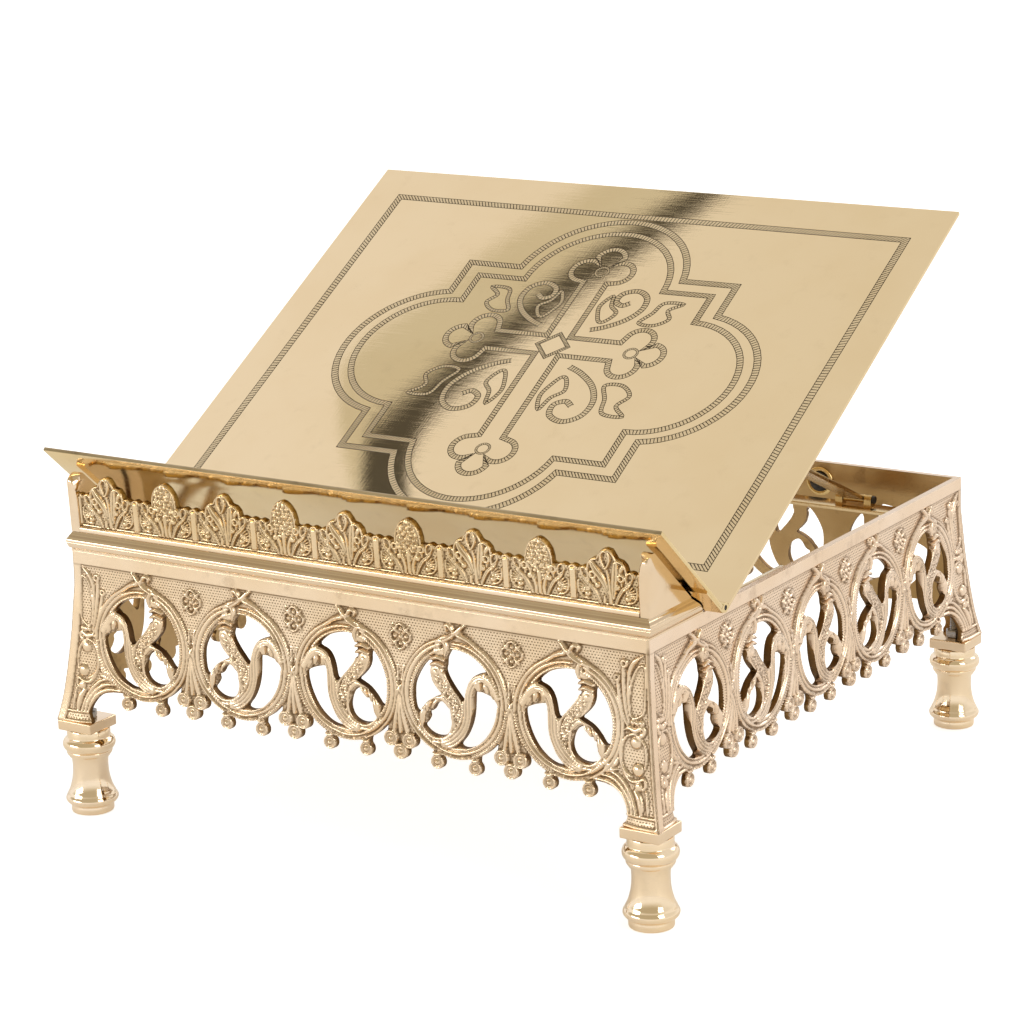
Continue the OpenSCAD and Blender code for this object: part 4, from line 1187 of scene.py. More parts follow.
def slope_y(z, off):
    """Y of the plane parallel to the ledge's outer face, at a distance from the hinge axis."""
    d = (math.cos(LEAN), math.sin(LEAN))
    n = (math.cos(LEAN + math.pi / 2), math.sin(LEAN + math.pi / 2))
    w = (z - AZ - off * n[1]) / d[1]
    return AY + off * n[0] + w * d[0]


def sweep(name, rows, closed_ends, mat, attrs, sharp):
    """Skin over equal sections given as lists of points."""
    V = [p for r in rows for p in r]
    n = len(rows[0])
    F = []
    for i in range(len(rows) - 1):
        for j in range(n):
            a, b = i * n + j, i * n + (j + 1) % n
            F.append((a, b, b + n, a + n))
    if closed_ends:
        F.append(tuple(range(n)))
        F.append(tuple(reversed(range((len(rows) - 1) * n, len(rows) * n))))
    ob = mesh_object(name, V, F, mat, attrs)
    fix_normals(ob)
    sharpen(ob, sharp)
    return ob


def moulding_groove_and_painted_bands(h):
    """How dark the moulding is at a height: darkest in the lower groove, painted shade in the notch under the nose, and
    painted dark reflection lines and bands on the upper slope.
    """
    return (0.5 if 0.75 < h < 1.3 else 0.25 if 3.98 < h < 4.3 else 0.3 if 6.5 < h < 6.7 else 0.4 if 7.1 < h < 7.2 else 0.2 if 7.8 < h < 8.2
            else 0.1 if h < 9.1 and h > 8.2 else 0.0)


def moulding():
    n = len(MOULD)
    xs = np.linspace(-1, 1, 61)
    rows = [[(s * (B + e), -(B + e), RIM + h) for e, h in MOULD] for s in xs]
    main = sweep("m_main", rows, False, M_MOULD, {"K": [moulding_groove_and_painted_bands(h) for _ in xs for e, h in MOULD]}, 30)
    rows = [[(s * 146.98, -(B + e), RIM + h) for e, h in FILLET] for s in np.linspace(-1, 1, 31)]
    top = sweep("m_top", rows, True, M_MOULD, {"K": [0.6 if h > 11.65 and e > -6 else 0.35 if h < 9.25 else 0.0
                                                    for _ in range(31) for e, h in FILLET]}, 30)
    ride(join("front_moulding_v", [main, top]), "base", "turned_brass", "front_moulding")
    for sx, nm in ((-1, "left"), (1, "right")):
        steps = np.linspace(0, 1, 13)
        rows = []
        for t in steps:
            row = []
            for e, h in MOULD:
                y0, y1 = -(B + e), slope_y(RIM + h, 3.75)
                row.append((sx * (B + e), y0 + (y1 - y0) * t, RIM + h))
            rows.append(row)
        ob = sweep(f"{nm}_return_v", rows, True, M_MOULD, {"K": [moulding_groove_and_painted_bands(h) for _ in steps for e, h in MOULD]}, 30)
        ride(ob, "base", "turned_brass", f"{nm}_return")


moulding()

# ---------------------------------------------------------------- cresting

CP = 32.8
CG = -1.75


def teardrop(R, x, z, a, b, h=1.5, w=0.55, tilt=0.0):
    """Outlined hollow drop, pointed at its lower end."""
    c, s = math.cos(tilt), math.sin(tilt)
    pts = [(0, b), (0.7 * a, 0.72 * b), (a, 0.2 * b), (0.75 * a, -0.4 * b), (0, -b), (-0.75 * a, -0.4 * b), (-a, 0.2 * b), (-0.7 * a, 0.72 * b)]
    R.stroke([(x + c * u - s * v, z + s * u + c * v) for u, v in pts], w, h, base=CG, closed=True, n=5)


def side_leaf(R, s):
    """Three-lobed leaf and fine shell beside an ornament."""
    g = CG
    R.stroke([(s * 3.8, 0.8), (s * 5.4, 4.0), (s * 7.4, 7.0), (s * 10.2, 9.4), (s * 12.2, 12.4)], [0.7, 0.95, 0.95, 0.9, 0.5],
             [1.2, 1.6, 1.7, 1.6, 1.1], reeds=2, depth=0.6, base=g)
    R.ring(s * 6.8, 12.2, 0.6, 2.1, 1.6, base=g)
    R.stroke([(s * 6.9, 10.4), (s * 6.9, 8.6)], [0.6, 0.4], 1.2, base=g)
    teardrop(R, s * 10.6, 12.6, 1.5, 2.5, 1.5, 0.5, tilt=-s * 0.45)
    R.dome(s * 4.7, 7.8, 1.5, 1.6, base=g, ring=0.2)
    for q in range(6):
        a = math.radians(-8 + q * 15)
        c, v = math.cos(a), math.sin(a)
        R.stroke([(s * (8.0 + 1.2 * c), 4.6 + 1.2 * v), (s * (8.0 + 6.0 * c), 4.6 + 5.2 * v)], [0.25, 0.42], [0.8, 1.3], base=g)
    R.stroke([(s * 9.2, 1.4), (s * 12.4, 2.4), (s * 14.0, 5.2), (s * 14.0, 9.0)], [0.5, 0.6, 0.6, 0.35], 1.2, base=g)
    R.dome(s * 9.6, 3.6, 1.6, 1.7, base=g)


def palmette(R, c):
    R.place(c, 0)
    g = CG
    half = [(-7, 1), (-9.4, 10), (-9.8, 14.6), (-9, 17.4), (-7.2, 19.3), (-4.6, 19.9), (-3.8, 21.4), (-2.2, 23.6), (0, 24.2)]
    R.area(half + [(-x, z) for x, z in half[-2::-1]])
    for s in (-1, 1):
        R.stroke([(s * 8.9, 9.4), (s * 9.25, 14.4), (s * 8.5, 17.1), (s * 6.9, 18.75), (s * 4.7, 19.2)], [0.3, 0.5, 0.55, 0.55, 0.4], 1.35, base=g)
        R.stroke([(s * 4.3, 19.6), (s * 3.4, 21.3), (s * 1.9, 23.1), (0, 23.6)], 0.5, 1.35, base=g)
    teardrop(R, -0.5, 19.4, 2.1, 3.8, 1.75, 0.65)
    R.stroke([(-7.0, 17.2), (-5.2, 14.6), (-2.9, 12.0), (-1.0, 8.6), (0.2, 4.6)], [1.3, 1.9, 1.8, 1.3, 0.6], [1.5, 1.8, 1.9, 1.7, 1.3], reeds=2, depth=0.75, base=g)
    R.stroke([(4.3, 18.0), (4.0, 13.6), (3.4, 8.6), (2.8, 3.0)], [1.3, 1.8, 1.5, 0.7], [1.5, 1.9, 1.8, 1.3], reeds=2, depth=0.75, base=g)
    R.stroke([(7.4, 16.8), (6.6, 15.2), (5.9, 14.0)], [1.2, 1.1, 0.4], [1.6, 1.6, 1.0], base=g)
    R.stroke([(-8.2, 12.4), (-6.6, 10.0), (-4.0, 7.2)], [0.6, 1.0, 0.5], [1.2, 1.5, 1.0], base=g)
    R.stroke([(-0.2, 15.6), (0.8, 11.0), (1.2, 6.0), (1.2, 0.8)], [0.4, 0.7, 0.8, 1.0], [1.2, 1.5, 1.4, 1.2], base=g)
    R.stroke([(-1.6, 3.6), (-1.8, 0.8)], [0.5, 0.8], [1.0, 1.2], base=g)
    for s in (-1, 1):
        side_leaf(R, s)


def cone(R, c, seed):
    R.place(c, 0)
    g = CG
    half = [(-4.6, 1), (-6.6, 9.4), (-6.9, 13), (-6.7, 17.2), (-5.8, 20.4), (-4, 22.9), (-1.8, 24.6), (0, 25.1)]
    R.area(half + [(-x, z) for x, z in half[-2::-1]])
    R.plateau([(-5.6, 10.6), (-6.2, 14), (-5.9, 17.6), (-4.8, 20.6), (-2.8, 23.2), (0, 24.4), (2.8, 23.2), (4.8, 20.6), (5.9, 17.6),
               (6.2, 14), (5.6, 10.6), (0, 9.6)], 0.75, bevel=3.0, base=g)
    R.pebbles([(0, 10.6), (0, 14), (0, 18), (0, 21), (0, 23.6)], [5.4, 6.0, 5.7, 4.5, 2.2], 1.0, pitch=2.15, r=1.02, seed=seed + 11)
    for s in (-1, 1):
        R.stroke([(s * 6.2, 9.8), (s * 6.5, 13.6), (s * 6.2, 17.4), (s * 5.2, 20.4), (s * 3.4, 22.9), (0, 24.5)], [0.3, 0.42, 0.45, 0.45, 0.45, 0.4], 1.3, base=g)
        R.stroke([(s * 4.6, 10.2), (s * 3.0, 7.0), (s * 2.0, 3.6), (s * 2.1, 0.8)], [0.5, 0.9, 0.9, 0.9], [1.2, 1.6, 1.4, 1.2], base=g)
        side_leaf(R, s)
    R.stroke([(0, 9.8), (0, 5.0), (0, 0.8)], [1.2, 0.9, 0.9], [1.8, 1.6, 1.3], base=g)


CL = math.radians(4.0)


def crest_at(x, z, y):
    """Point of the leaning cresting: y counts from its front towards the back."""
    return np.stack([x, -150.3 + y * math.cos(CL) - z * math.sin(CL), MZ + y * math.sin(CL) + z * math.cos(CL)], 1)


def cresting():
    st = 0.31
    xs = np.arange(-147.0, 147.01, st)
    zs = np.arange(-0.4, 25.8, st)
    R = Relief(xs, zs, CG)
    R.area([(-160, 0), (160, 0), (160, 14.4), (-160, 14.4)])
    for k in range(-5, 5):
        for j in (-1, 0, 1):
            R.place(0, 0)
            R.disc((k + 0.5) * CP + j * 5, 12.9, 2.45)
    for k in range(-4, 5):
        if k % 2 == 0:
            palmette(R, k * CP)
        else:
            cone(R, k * CP, k)
    # bars and scallops of the valleys
    for k in range(-5, 5):
        R.place((k + 0.5) * CP, 0)
        R.plateau([(-1.55, 0.5), (1.55, 0.5), (1.55, 14.3), (-1.55, 14.3)], 1.7, bevel=0.8, base=CG, smooth=0)
        for j in (-1, 0, 1):
            R.stroke([(j * 5 - 2.1, 13.2), (j * 5 - 1.6, 14.5), (j * 5, 15.0), (j * 5 + 1.6, 14.5), (j * 5 + 2.1, 13.2)], 0.4, 1.1, base=CG)
    R.place(0, 0)
    R.H = np.where(R.Z < 0.5, np.maximum(R.H, -0.6), R.H)
    R.S = np.minimum(R.S, 146.95 - np.abs(R.X))
    R.S = np.minimum(R.S, R.Z - 0.02)

    def place(x, z, h):
        return crest_at(x, z, -np.minimum(h, -0.02))

    def back(x, z):
        return crest_at(x, z, np.full_like(x, 4.05))
    ob = relief_mesh("cresting_v", R, place, back, [M_CREST, M_GOLD], edge=0.5, edge_drop=0.3, k_gain=1.05)
    print("cresting tris", sum(len(p.vertices) - 2 for p in ob.data.polygons))
    ride(ob, "base", "cast_brass", "cresting")
    # plain rear skin
    st2 = 1.0
    R2 = Relief(np.arange(-147.0, 147.01, st2), np.arange(-0.4, 26.3, 0.5), 0)
    jx = np.clip(((R2.xs - xs[0]) / st).round().astype(int), 0, len(xs) - 1)
    jz = np.clip(((R2.zs - zs[0]) / st).round().astype(int), 0, len(zs) - 1)
    R2.S = R.S[jz][:, jx]
    R2.G[:] = 0
    bk = relief_mesh("cresting_back", R2, lambda x, z, h: back(x, z), back, [M_GOLD], edge=0.01, edge_drop=0, wall=False, flip=True, k_gain=0)
    ride(bk, "base", "cast_brass")


cresting()

# ---------------------------------------------------------------- brackets


def bracket(sx, nm):
    """Cheek behind a narrow front face that runs to a point at the outer side."""
    z0 = RIM + 9.08
    levels = [(0.0, 147.1), (4.0, 147.05), (8.0, 147.05), (12.4, 147.05), (15.0, 147.1), (16.9, 147.3), (19.0, 147.45), (20.8, 147.8),
              (22.4, 148.3), (23.5, 148.75), (24.4, 149.6), (25.1, 150.4), (25.8, 150.7), (26.4, 150.9), (26.85, 151.0)]
    rows = []
    for dzv, xi in levels:
        z = z0 + dzv
        hz = z - MZ
        yf = -151.28 + (-152.7 + 151.28) * min(dzv, 23.4) / 23.4
        drop = max(0.0, hz - 20.4)
        yf += 0.13 * drop + 0.115 * drop ** 2.6
        yf = min(yf, -147.3)
        yb = slope_y(z, 3.8)
        ym = min(-149.2, yb - 0.3)
        top = max(0.0, hz - 23.4)
        r = 0.55 - min(0.3, top * 0.3)
        rows.append([(sx * 151.95, yb, z), (sx * (151.95), yb * 0.5 + yf * 0.5, z), (sx * 151.95, yf + r, z), (sx * (151.95 - 0.3 * r), yf + 0.3 * r, z),
                     (sx * (151.95 - r), yf, z), (sx * (xi * 0.45 + 151.4 * 0.55), yf, z), (sx * (xi + 0.5), yf + 0.02, z), (sx * xi, yf + 0.45, z),
                     (sx * (xi * 0.5 + 147.05 * 0.5), max(yf + 0.5, -150.2), z), (sx * 147.05, max(yf + 0.55, -148.95), z),
                     (sx * 147.05, yb, z)])
    ob = sweep(f"{nm}_bracket_v", rows, True, M_MOULD, None, 38)
    ride(ob, "base", "cast_brass", f"{nm}_bracket")


bracket(-1, "left")
bracket(1, "right")

# ---------------------------------------------------------------- book rest


def on_plate(s, d, x=0.0):
    """Point at a distance s up the plate and d above the hinge plane."""
    return (x, AY + s * math.cos(TILT) - d * math.sin(TILT), AZ + s * math.sin(TILT) + d * math.cos(TILT))


def sheet_piece(name, s0, s1, d0, d1, half, angle, mat, bevel=0.35, sharp=12):
    return rounded(name, (-half, s0, d0), (half, s1, d1), mat, bevel, 2, rot=angle, pivot=(0, AY, AZ), sharp=sharp)


def rolled_rim(ob, angle, ss, xs):
    """Keeps a sheet's faces flat but for a narrow band along its edges."""
    import bmesh
    bm = bmesh.new()
    bm.from_mesh(ob.data)
    d = Vector((0, math.cos(angle), math.sin(angle)))
    planes = [((Vector((0, AY, AZ)) + d * s) * MM, d) for s in ss] + [(Vector((x, 0, 0)) * MM, Vector((1, 0, 0))) for x in xs]
    for co_, no in planes:
        bmesh.ops.bisect_plane(bm, geom=bm.verts[:] + bm.edges[:] + bm.faces[:], plane_co=co_, plane_no=no)
    bm.to_mesh(ob.data)
    bm.free()
    sharpen(ob, 50)


def cut_edges(ob, angle, mat):
    """The narrow edges of a sheet get a material of their own: rail brass on the plate, and on the ledge a darker brass
    that paints shade along its edges.
    """
    ob.data.materials.append(mat)
    n = Vector((0, -math.sin(angle), math.cos(angle)))
    for p in ob.data.polygons:
        if abs(p.normal.dot(n)) < 0.85 and abs(p.normal.x) < 0.7:
            p.material_index = 1


plate = sheet_piece("book_plate_v", 2.62, 264.7, -2.2, -0.46, 161.0, TILT, M_SHEET)
cut_edges(plate, TILT, M_RAIL)
ride(plate, "book_rest", "sheet_brass", "book_plate")
ledge = sheet_piece("ledge_v", 2.62, 69.9, 0.4, 2.2, 161.0, LEAN, M_LEDGE, sharp=50)
rolled_rim(ledge, LEAN, (9.0, 52.0), (-158.5, 158.5))
cut_edges(ledge, LEAN, M_LEDGE_EDGE_SHADE)
ride(ledge, "book_rest", "sheet_brass", "ledge")


class Graver:
    """Collects the engraved lines of the plate as flat dark strips, painted shade in place of cut furrows, over rougher
    raised strips as burrs.
    """

    def __init__(self):
        self.V, self.F = [], []
        self.GV, self.GF = [], []

    def strip(self, L, Rr, ground=False):
        V, F = (self.GV, self.GF) if ground else (self.V, self.F)
        b = len(V)
        n = len(L)
        for p in list(L) + list(Rr):
            V.append((p[0], p[1]))
        for i in range(n - 1):
            F.append((b + i, b + n + i, b + n + i + 1, b + i + 1))

    def offset(self, P, w, closed):
        P = np.array(P, float)
        if closed:
            a, c = np.roll(P, 1, 0), np.roll(P, -1, 0)
        else:
            a, c = np.vstack([P[:1], P[:-1]]), np.vstack([P[1:], P[-1:]])
        d1, d2 = P - a, c - P
        l1, l2 = np.linalg.norm(d1, axis=1), np.linalg.norm(d2, axis=1)
        d1 = np.where(l1[:, None] > 1e-9, d1 / np.maximum(l1, 1e-9)[:, None], d2 / np.maximum(l2, 1e-9)[:, None])
        d2 = np.where(l2[:, None] > 1e-9, d2 / np.maximum(l2, 1e-9)[:, None], d1)
        n1 = np.stack([-d1[:, 1], d1[:, 0]], 1)
        n2 = np.stack([-d2[:, 1], d2[:, 0]], 1)
        m = n1 + n2
        m /= np.maximum(np.linalg.norm(m, axis=1), 1e-6)[:, None]
        k = 1 / np.clip((m * n1).sum(1), 0.45, 1)
        return P + m * (k * w)[:, None]

    def line(self, P, w, closed=False):
        L, Rr = self.offset(P, w / 2, closed), self.offset(P, -w / 2, closed)
        if closed:
            L, Rr = np.vstack([L, L[:1]]), np.vstack([Rr, Rr[:1]])
        self.strip(L, Rr)

    def band(self, P, width, closed=True, pitch=1.7, lw=0.34, rw=0.5, skew=0.0):
        """Two thin lines with rungs between them."""
        A, C = self.offset(P, width / 2, closed), self.offset(P, -width / 2, closed)
        self.line(A, lw, closed)
        self.line(C, lw, closed)
        if closed:
            A, C = np.vstack([A, A[:1]]), np.vstack([C, C[:1]])
        self.strip(A, C, True)
        M_ = (A + C) / 2
        seg = np.linalg.norm(np.diff(M_, axis=0), axis=1)
        s = np.concatenate([[0], np.cumsum(seg)])
        n = max(2, int(round(s[-1] / pitch)))
        t = (np.arange(n) + 0.5) * s[-1] / n
        at = lambda Q, v: np.stack([np.interp(v, s, Q[:, 0]), np.interp(v, s, Q[:, 1])], 1)
        a0, c0 = at(A, t + skew), at(C, t - skew)
        for p, q in zip(a0, c0):
            d = q - p
            ln = np.linalg.norm(d)
            if ln < 0.3:
                continue
            nrm = np.array([-d[1], d[0]]) / ln * rw / 2
            self.strip([p + nrm, q + nrm * 0.7], [p - nrm, q - nrm * 0.7])


def poly_arc(cx, cy, r, a0, a1, n=24):
    a = np.radians(np.linspace(a0, a1, n))
    return list(zip(cx + r * np.cos(a), cy + r * np.sin(a)))


def chain(*parts):
    out = []
    for p in parts:
        for q in p:
            if not out or math.hypot(q[0] - out[-1][0], q[1] - out[-1][1]) > 0.05:
                out.append((float(q[0]), float(q[1])))
    return out


def barbed_frame(sx, cy, hx, ht, hb, rs, rt):
    """Square with a lobe on each side: half width hx, heights ht and hb of the square's
    edges, side lobes that reach sx with radius rs, upper and lower lobes rt."""
    def lobe_half(r, reach, edge):
        return math.sqrt(max(r * r - (r - (reach - edge)) ** 2, 1.0))
    ys = lobe_half(rs, sx, hx)
    top, bot = cy + ht[1], cy - hb[1]
    et, eb = cy + ht[0], cy - hb[0]
    xt = lobe_half(rt, top - et, 0)
    xb = lobe_half(rt, eb - bot, 0)
    P = []
    c = sx - rs
    a = math.degrees(math.asin(min(1, ys / rs)))
    P += poly_arc(c, cy, rs, -a, a)
    P += [(hx, et), (xt, et)]
    a = math.degrees(math.asin(min(1, xt / rt)))
    P += poly_arc(0, top - rt, rt, 90 - a, 90 + a)
    P += [(-hx, et)]
    a = math.degrees(math.asin(min(1, ys / rs)))
    P += poly_arc(-c, cy, rs, 180 - a, 180 + a)
    P += [(-hx, eb), (-xb, eb)]
    a = math.degrees(math.asin(min(1, xb / rt)))
    P += poly_arc(0, bot + rt, rt, 270 - a, 270 + a)
    P += [(hx, eb)]
    return chain(P)


def engraving():
    g = Graver()
    # border
    g.band([(-141.6, 24.2), (141.6, 23.8), (143.6, 244.6), (-141.2, 246.9)], 3.5, pitch=1.85)
    # barbed frame of two bands round (0, 137)
    g.band(barbed_frame(110.6, 137, 74.0, (65.5, 104.5), (68.5, 102.5), 44.0, 45.5), 3.3)
    g.band(barbed_frame(102.2, 137, 64.5, (57.0, 95.5), (60.0, 93.0), 38.0, 38.5), 3.0)
    # cross with trefoil ends, its shaft and arms outlined by bands
    w = 6.4
    cy = 150.0

    def end(cx, cy_, ang):
        """Three round lobes at the end of an arm that points along ang."""
        r = 7.4
        out = []
        for off, a0, a1 in ((-1, -170, 42), (0, -82, 82), (1, -42, 170)):
            if off == 0:
                ox, oy = 9.4, 0.0
            else:
                ox, oy = 0.0, off * 9.2
            out += [(ox + r * math.cos(math.radians(v)), oy + r * math.sin(math.radians(v))) for v in np.linspace(a0, a1, 16)]
        c, s = math.cos(math.radians(ang)), math.sin(math.radians(ang))
        return [(cx + c * u - s * v, cy_ + s * u + c * v) for u, v in out]
    cross = chain(
        [(w, cy - w)], [(34, cy - w)], end(42.5, cy, 0), [(34, cy + w)], [(w, cy + w)], [(w, 196)], end(0, 204, 90), [(-w, 196)],
        [(-w, cy + w)], [(-34, cy + w)], end(-42.5, cy, 180), [(-34, cy - w)], [(-w, cy - w)], [(-w, 86)], end(0, 77.5, 270), [(w, 86)])
    g.band(cross, 2.8, pitch=1.6)
    # lozenge at the crossing and small rings in the lobes
    g.band([(8.4, cy), (0, cy + 8.4), (-8.4, cy), (0, cy - 8.4)], 1.8, pitch=1.2)
    for x, y in ((42.5, cy), (-42.5, cy), (0, 204), (0, 77.5)):
        g.band(poly_arc(x, y, 3.3, 0, 345, 24), 1.1, pitch=1.0, lw=0.26, rw=0.3)
    # scroll leaves between the arms
    for sx in (-1, 1):
        for sy, y0 in ((1, cy + 13), (-1, cy - 13)):
            k = 0.82 if sy > 0 else 1.0
            sp = [(14, 0), (20, 3), (27, 9), (31, 17), (30, 25), (24.5, 29), (18.5, 26.5), (17.4, 21), (21.0, 18.4), (24.2, 20.6)]
            P = spline([(sx * (1.25 * u - 3) * (0.94 if sy > 0 else 1.1), y0 + sy * 1.25 * v * k) for u, v in sp], 8)
            g.band(P, 2.8, closed=False, pitch=1.55)
            lf = [(15.5, 7), (17.5, 13), (14.0, 17.5), (12.2, 24), (9.6, 17), (11.0, 10.5), (13.2, 6)]
            g.band(spline([(sx * (1.25 * u - 2) * 1.08, y0 + sy * 1.25 * v * k) for u, v in lf], 6, True), 1.9, pitch=1.45)
            tp = [(30.5, 8), (37, 7), (42, 12), (39.5, 18), (44, 23), (36, 22.5), (33.6, 15)]
            g.band(spline([(sx * (1.25 * u - 1) * (0.98 if sy > 0 else 1.08), y0 + sy * 1.25 * v * k) for u, v in tp], 6, True), 1.9, pitch=1.45)
    n = Vector((0, -math.sin(TILT), math.cos(TILT)))
    import bmesh
    for nm, V, F, d, mat in (("book_plate_engraving", g.V, g.F, -0.43, M_CUT_SHADE), ("book_plate_burr", g.GV, g.GF, -0.445, M_BURR)):
        ob = mesh_object(nm, [on_plate(v - 3.0, d, u - 0.3) for u, v in V], F, mat)
        me = ob.data
        bm = bmesh.new()
        bm.from_mesh(me)
        for f in bm.faces:
            f.normal_update()
            if f.normal.dot(n) < 0:
                f.normal_flip()
        bm.to_mesh(me)
        bm.free()
        print(nm, "tris", sum(len(p.vertices) - 2 for p in me.polygons))
        ride(ob, "book_rest", "sheet_brass")


engraving()

# ---------------------------------------------------------------- parts inside


def cut(ob, lo, hi):
    """Cuts a box out of a piece."""
    c = rounded("cutter", lo, hi, M_DARK, 0.05, 1)
    md = ob.modifiers.new("c", "BOOLEAN")
    md.operation = "DIFFERENCE"
    md.solver = "EXACT"
    md.object = c
    dg = bpy.context.evaluated_depsgraph_get()
    me = bpy.data.meshes.new_from_object(ob.evaluated_get(dg))
    ob.modifiers.clear()
    ob.data = me
    bpy.data.objects.remove(c)
    sharpen(ob, 35)
    return ob


IN = B - T
PY, PZ = 127.0, 115.6
PROP_L = math.hypot(PY + 103.2 - 110 * math.cos(TILT) - 6.4 * math.sin(TILT), 0)
RYP = AY + 110 * math.cos(TILT) + 6.4 * math.sin(TILT)
RZP = AZ + 110 * math.sin(TILT) - 6.4 * math.cos(TILT)
PROP_L = math.hypot(PY - RYP, RZP - PZ)
PROP_A = math.pi - math.atan2(RZP - PZ, PY - RYP)

ride(rounded("hinge_rail_v", (-IN, AY - 1, 108), (IN, AY + 2, AZ - 3.4), M_AGED, 0.45, 2), "base", "aged_brass", "hinge_rail")
for sx, nm in ((-1, "left"), (1, "right")):
    a0, a1 = sorted((sx * (IN - 4.2), sx * (IN - 1.2)))
    ride(rounded(f"{nm}_rail_arm_v", (a0, AY + 2, 110), (a1, AY + 80, 124.4), M_RAIL, 0.5, 2), "base", "aged_brass", f"{nm}_rail_arm")
ride(rounded("prop_rail_v", (-IN, 120.6, 110), (IN, 132.6, 112), M_RAIL, 0.45, 2), "base", "aged_brass", "prop_rail")
screws = []
for i in range(-2, 3):
    o = lathe(f"ls{i}", [(0, 1.1), (1.2, 1.05), (2.1, 0.85), (2.6, 0.5), (2.8, 0.0), (1.5, -0.02), (1.5, -3.8), (0, -3.9)], M_STEEL, seg=40,
              axis="-y", at=(i * 54, AY - 2.2, 116), sharp=35)
    screws.append(cut(o, (i * 54 - 3.2, AY - 4.2, 115.65), (i * 54 + 3.2, AY - 2.75, 116.35)))
ride(join("leaf_screws_v", screws), "base", "dark_steel", "leaf_screws")
rings_, heads = [], []
for s in (-1, 1):
    y = B - T
    rings_.append(lathe(f"bw{s}", [(2.15, 0.0), (7.0, 0.0), (7.3, 0.25), (7.3, 0.7), (7.0, 1.05), (6.6, 1.2), (5.6, 1.2), (5.3, 1.0), (2.15, 1.0)],
                        M_GOLD, seg=56, axis="-y", at=(s * 77, y, PZ), closed=True, sharp=35))
    o = lathe(f"bs{s}", [(0, 3.75), (1.6, 3.7), (3.1, 3.35), (4.2, 2.7), (4.85, 1.8), (5.0, 1.2), (2.0, 1.15), (2.0, -2.1), (0, -2.1)], M_DARK,
              seg=56, axis="-y", at=(s * 77, y, PZ), sharp=35)
    heads.append(cut(o, (s * 77 - 5.6, y - 4.4, PZ - 0.5), (s * 77 + 5.6, y - 2.75, PZ + 0.5)))
ride(join("buffer_washers_v", rings_), "base", "turned_brass", "buffer_washers")
ride(join("buffer_screws_v", heads), "base", "dark_steel", "buffer_screws")


def prop_piece(o):
    p = Vector((0, PY, PZ)) * MM
    o.data.transform(Matrix.Translation(p) @ Matrix.Rotation(PROP_A, 4, "X"))
    return o


for sx, nm in ((-1, "left"), (1, "right")):
    x0, x1 = sorted((sx * 101.5, sx * 112.5))
    bar = prop_piece(rounded(f"pa{sx}", (x0, 1.7, -1.0), (x1, PROP_L - 3.0, 1.0), M_AGED, 0.35, 2))
    low = prop_piece(lathe(f"pl{sx}", [(1.16, x0), (2.0, x0), (2.2, x0 + 0.2), (2.2, x1 - 0.2), (2.0, x1), (1.16, x1)], M_AGED, seg=36, axis="x", closed=True, sharp=35))
    eye = lathe(f"pe{sx}", [(2.06, x0), (3.3, x0), (3.6, x0 + 0.3), (3.6, x1 - 0.3), (3.3, x1), (2.06, x1)], M_AGED, seg=44, axis="x", closed=True, sharp=35)
    eye.data.transform(Matrix.Translation(Vector((0, PROP_L, 0)) * MM))
    eye = prop_piece(eye)
    ride(join(f"{nm}_prop_arm_v", [bar, low, eye]), "prop_frame", "aged_brass", f"{nm}_prop_arm")
xe = 101.5 + 11 + 1.6
rod = lathe("prop_rod_v", [(0, -xe - 0.6), (2.4, -xe - 0.6), (3.0, -xe - 0.2), (3.0, -xe + 0.9), (2.6, -xe + 1.2), (2.0, -xe + 1.25), (2.0, xe - 1.25),
                           (2.6, xe - 1.2), (3.0, xe - 0.9), (3.0, xe + 0.2), (2.4, xe + 0.6), (0, xe + 0.6)], M_GOLD, seg=40, axis="x", sharp=35)
rod.data.transform(Matrix.Translation(Vector((0, PROP_L, 0)) * MM))
ride(prop_piece(rod), "prop_frame", "aged_brass", "prop_rod")

# carried-over nodes
SHOWN = {"fixed_leaf": M_AGED, "hinge_pin": M_DARK, "moving_leaf": M_LEDGE, "prop_cleats": M_AGED, "prop_lugs": M_AGED,
         "prop_pins": M_DARK}
for n, m in SHOWN.items():
    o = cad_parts[n]
    o.data.materials.clear()
    o.data.materials.append(m)

# ---------------------------------------------------------------- stage, light, camera


def stage_plane(name, size_m, z, mat):
    me = bpy.data.meshes.new(name)
    s = size_m / 2
    me.from_pydata([(-s, -s, z), (s, -s, z), (s, s, z), (-s, s, z)], [], [(0, 1, 2, 3)])
    ob = bpy.data.objects.new(name, me)
    COL.objects.link(ob)
    me.materials.append(mat)
    return ob


m_floor, ntf, bsf = nodes_of("floor")
tf = Tree(ntf)
ntf.links.new(tf.mix(tf.noise(tf.coords(), 4.0), (0.80, 0.795, 0.785), (0.82, 0.815, 0.81)), bsf.inputs["Base Color"])
bsf.inputs["Roughness"].default_value = 0.7
bsf.inputs["Emission Color"].default_value = (1, 0.995, 0.985, 1)
lp = ntf.nodes.new("ShaderNodeLightPath")
ntf.links.new(tf.math("ADD", tf.math("MULTIPLY", lp.outputs["Is Camera Ray"], 0.5), 0.16), bsf.inputs["Emission Strength"])
stage_plane("floor", 12.0, -0.0002, m_floor)

w = bpy.data.worlds.new("world")
bpy.context.scene.world = w
w.use_nodes = True
wt = w.node_tree
wt.nodes.clear()
wo = wt.nodes.new("ShaderNodeOutputWorld")
bg = wt.nodes.new("ShaderNodeBackground")
wt.links.new(bg.outputs[0], wo.inputs[0])
tw = Tree(wt)
gen = wt.nodes.new("ShaderNodeTexCoord").outputs["Generated"]
gx, gy, gz = tw.split(gen)
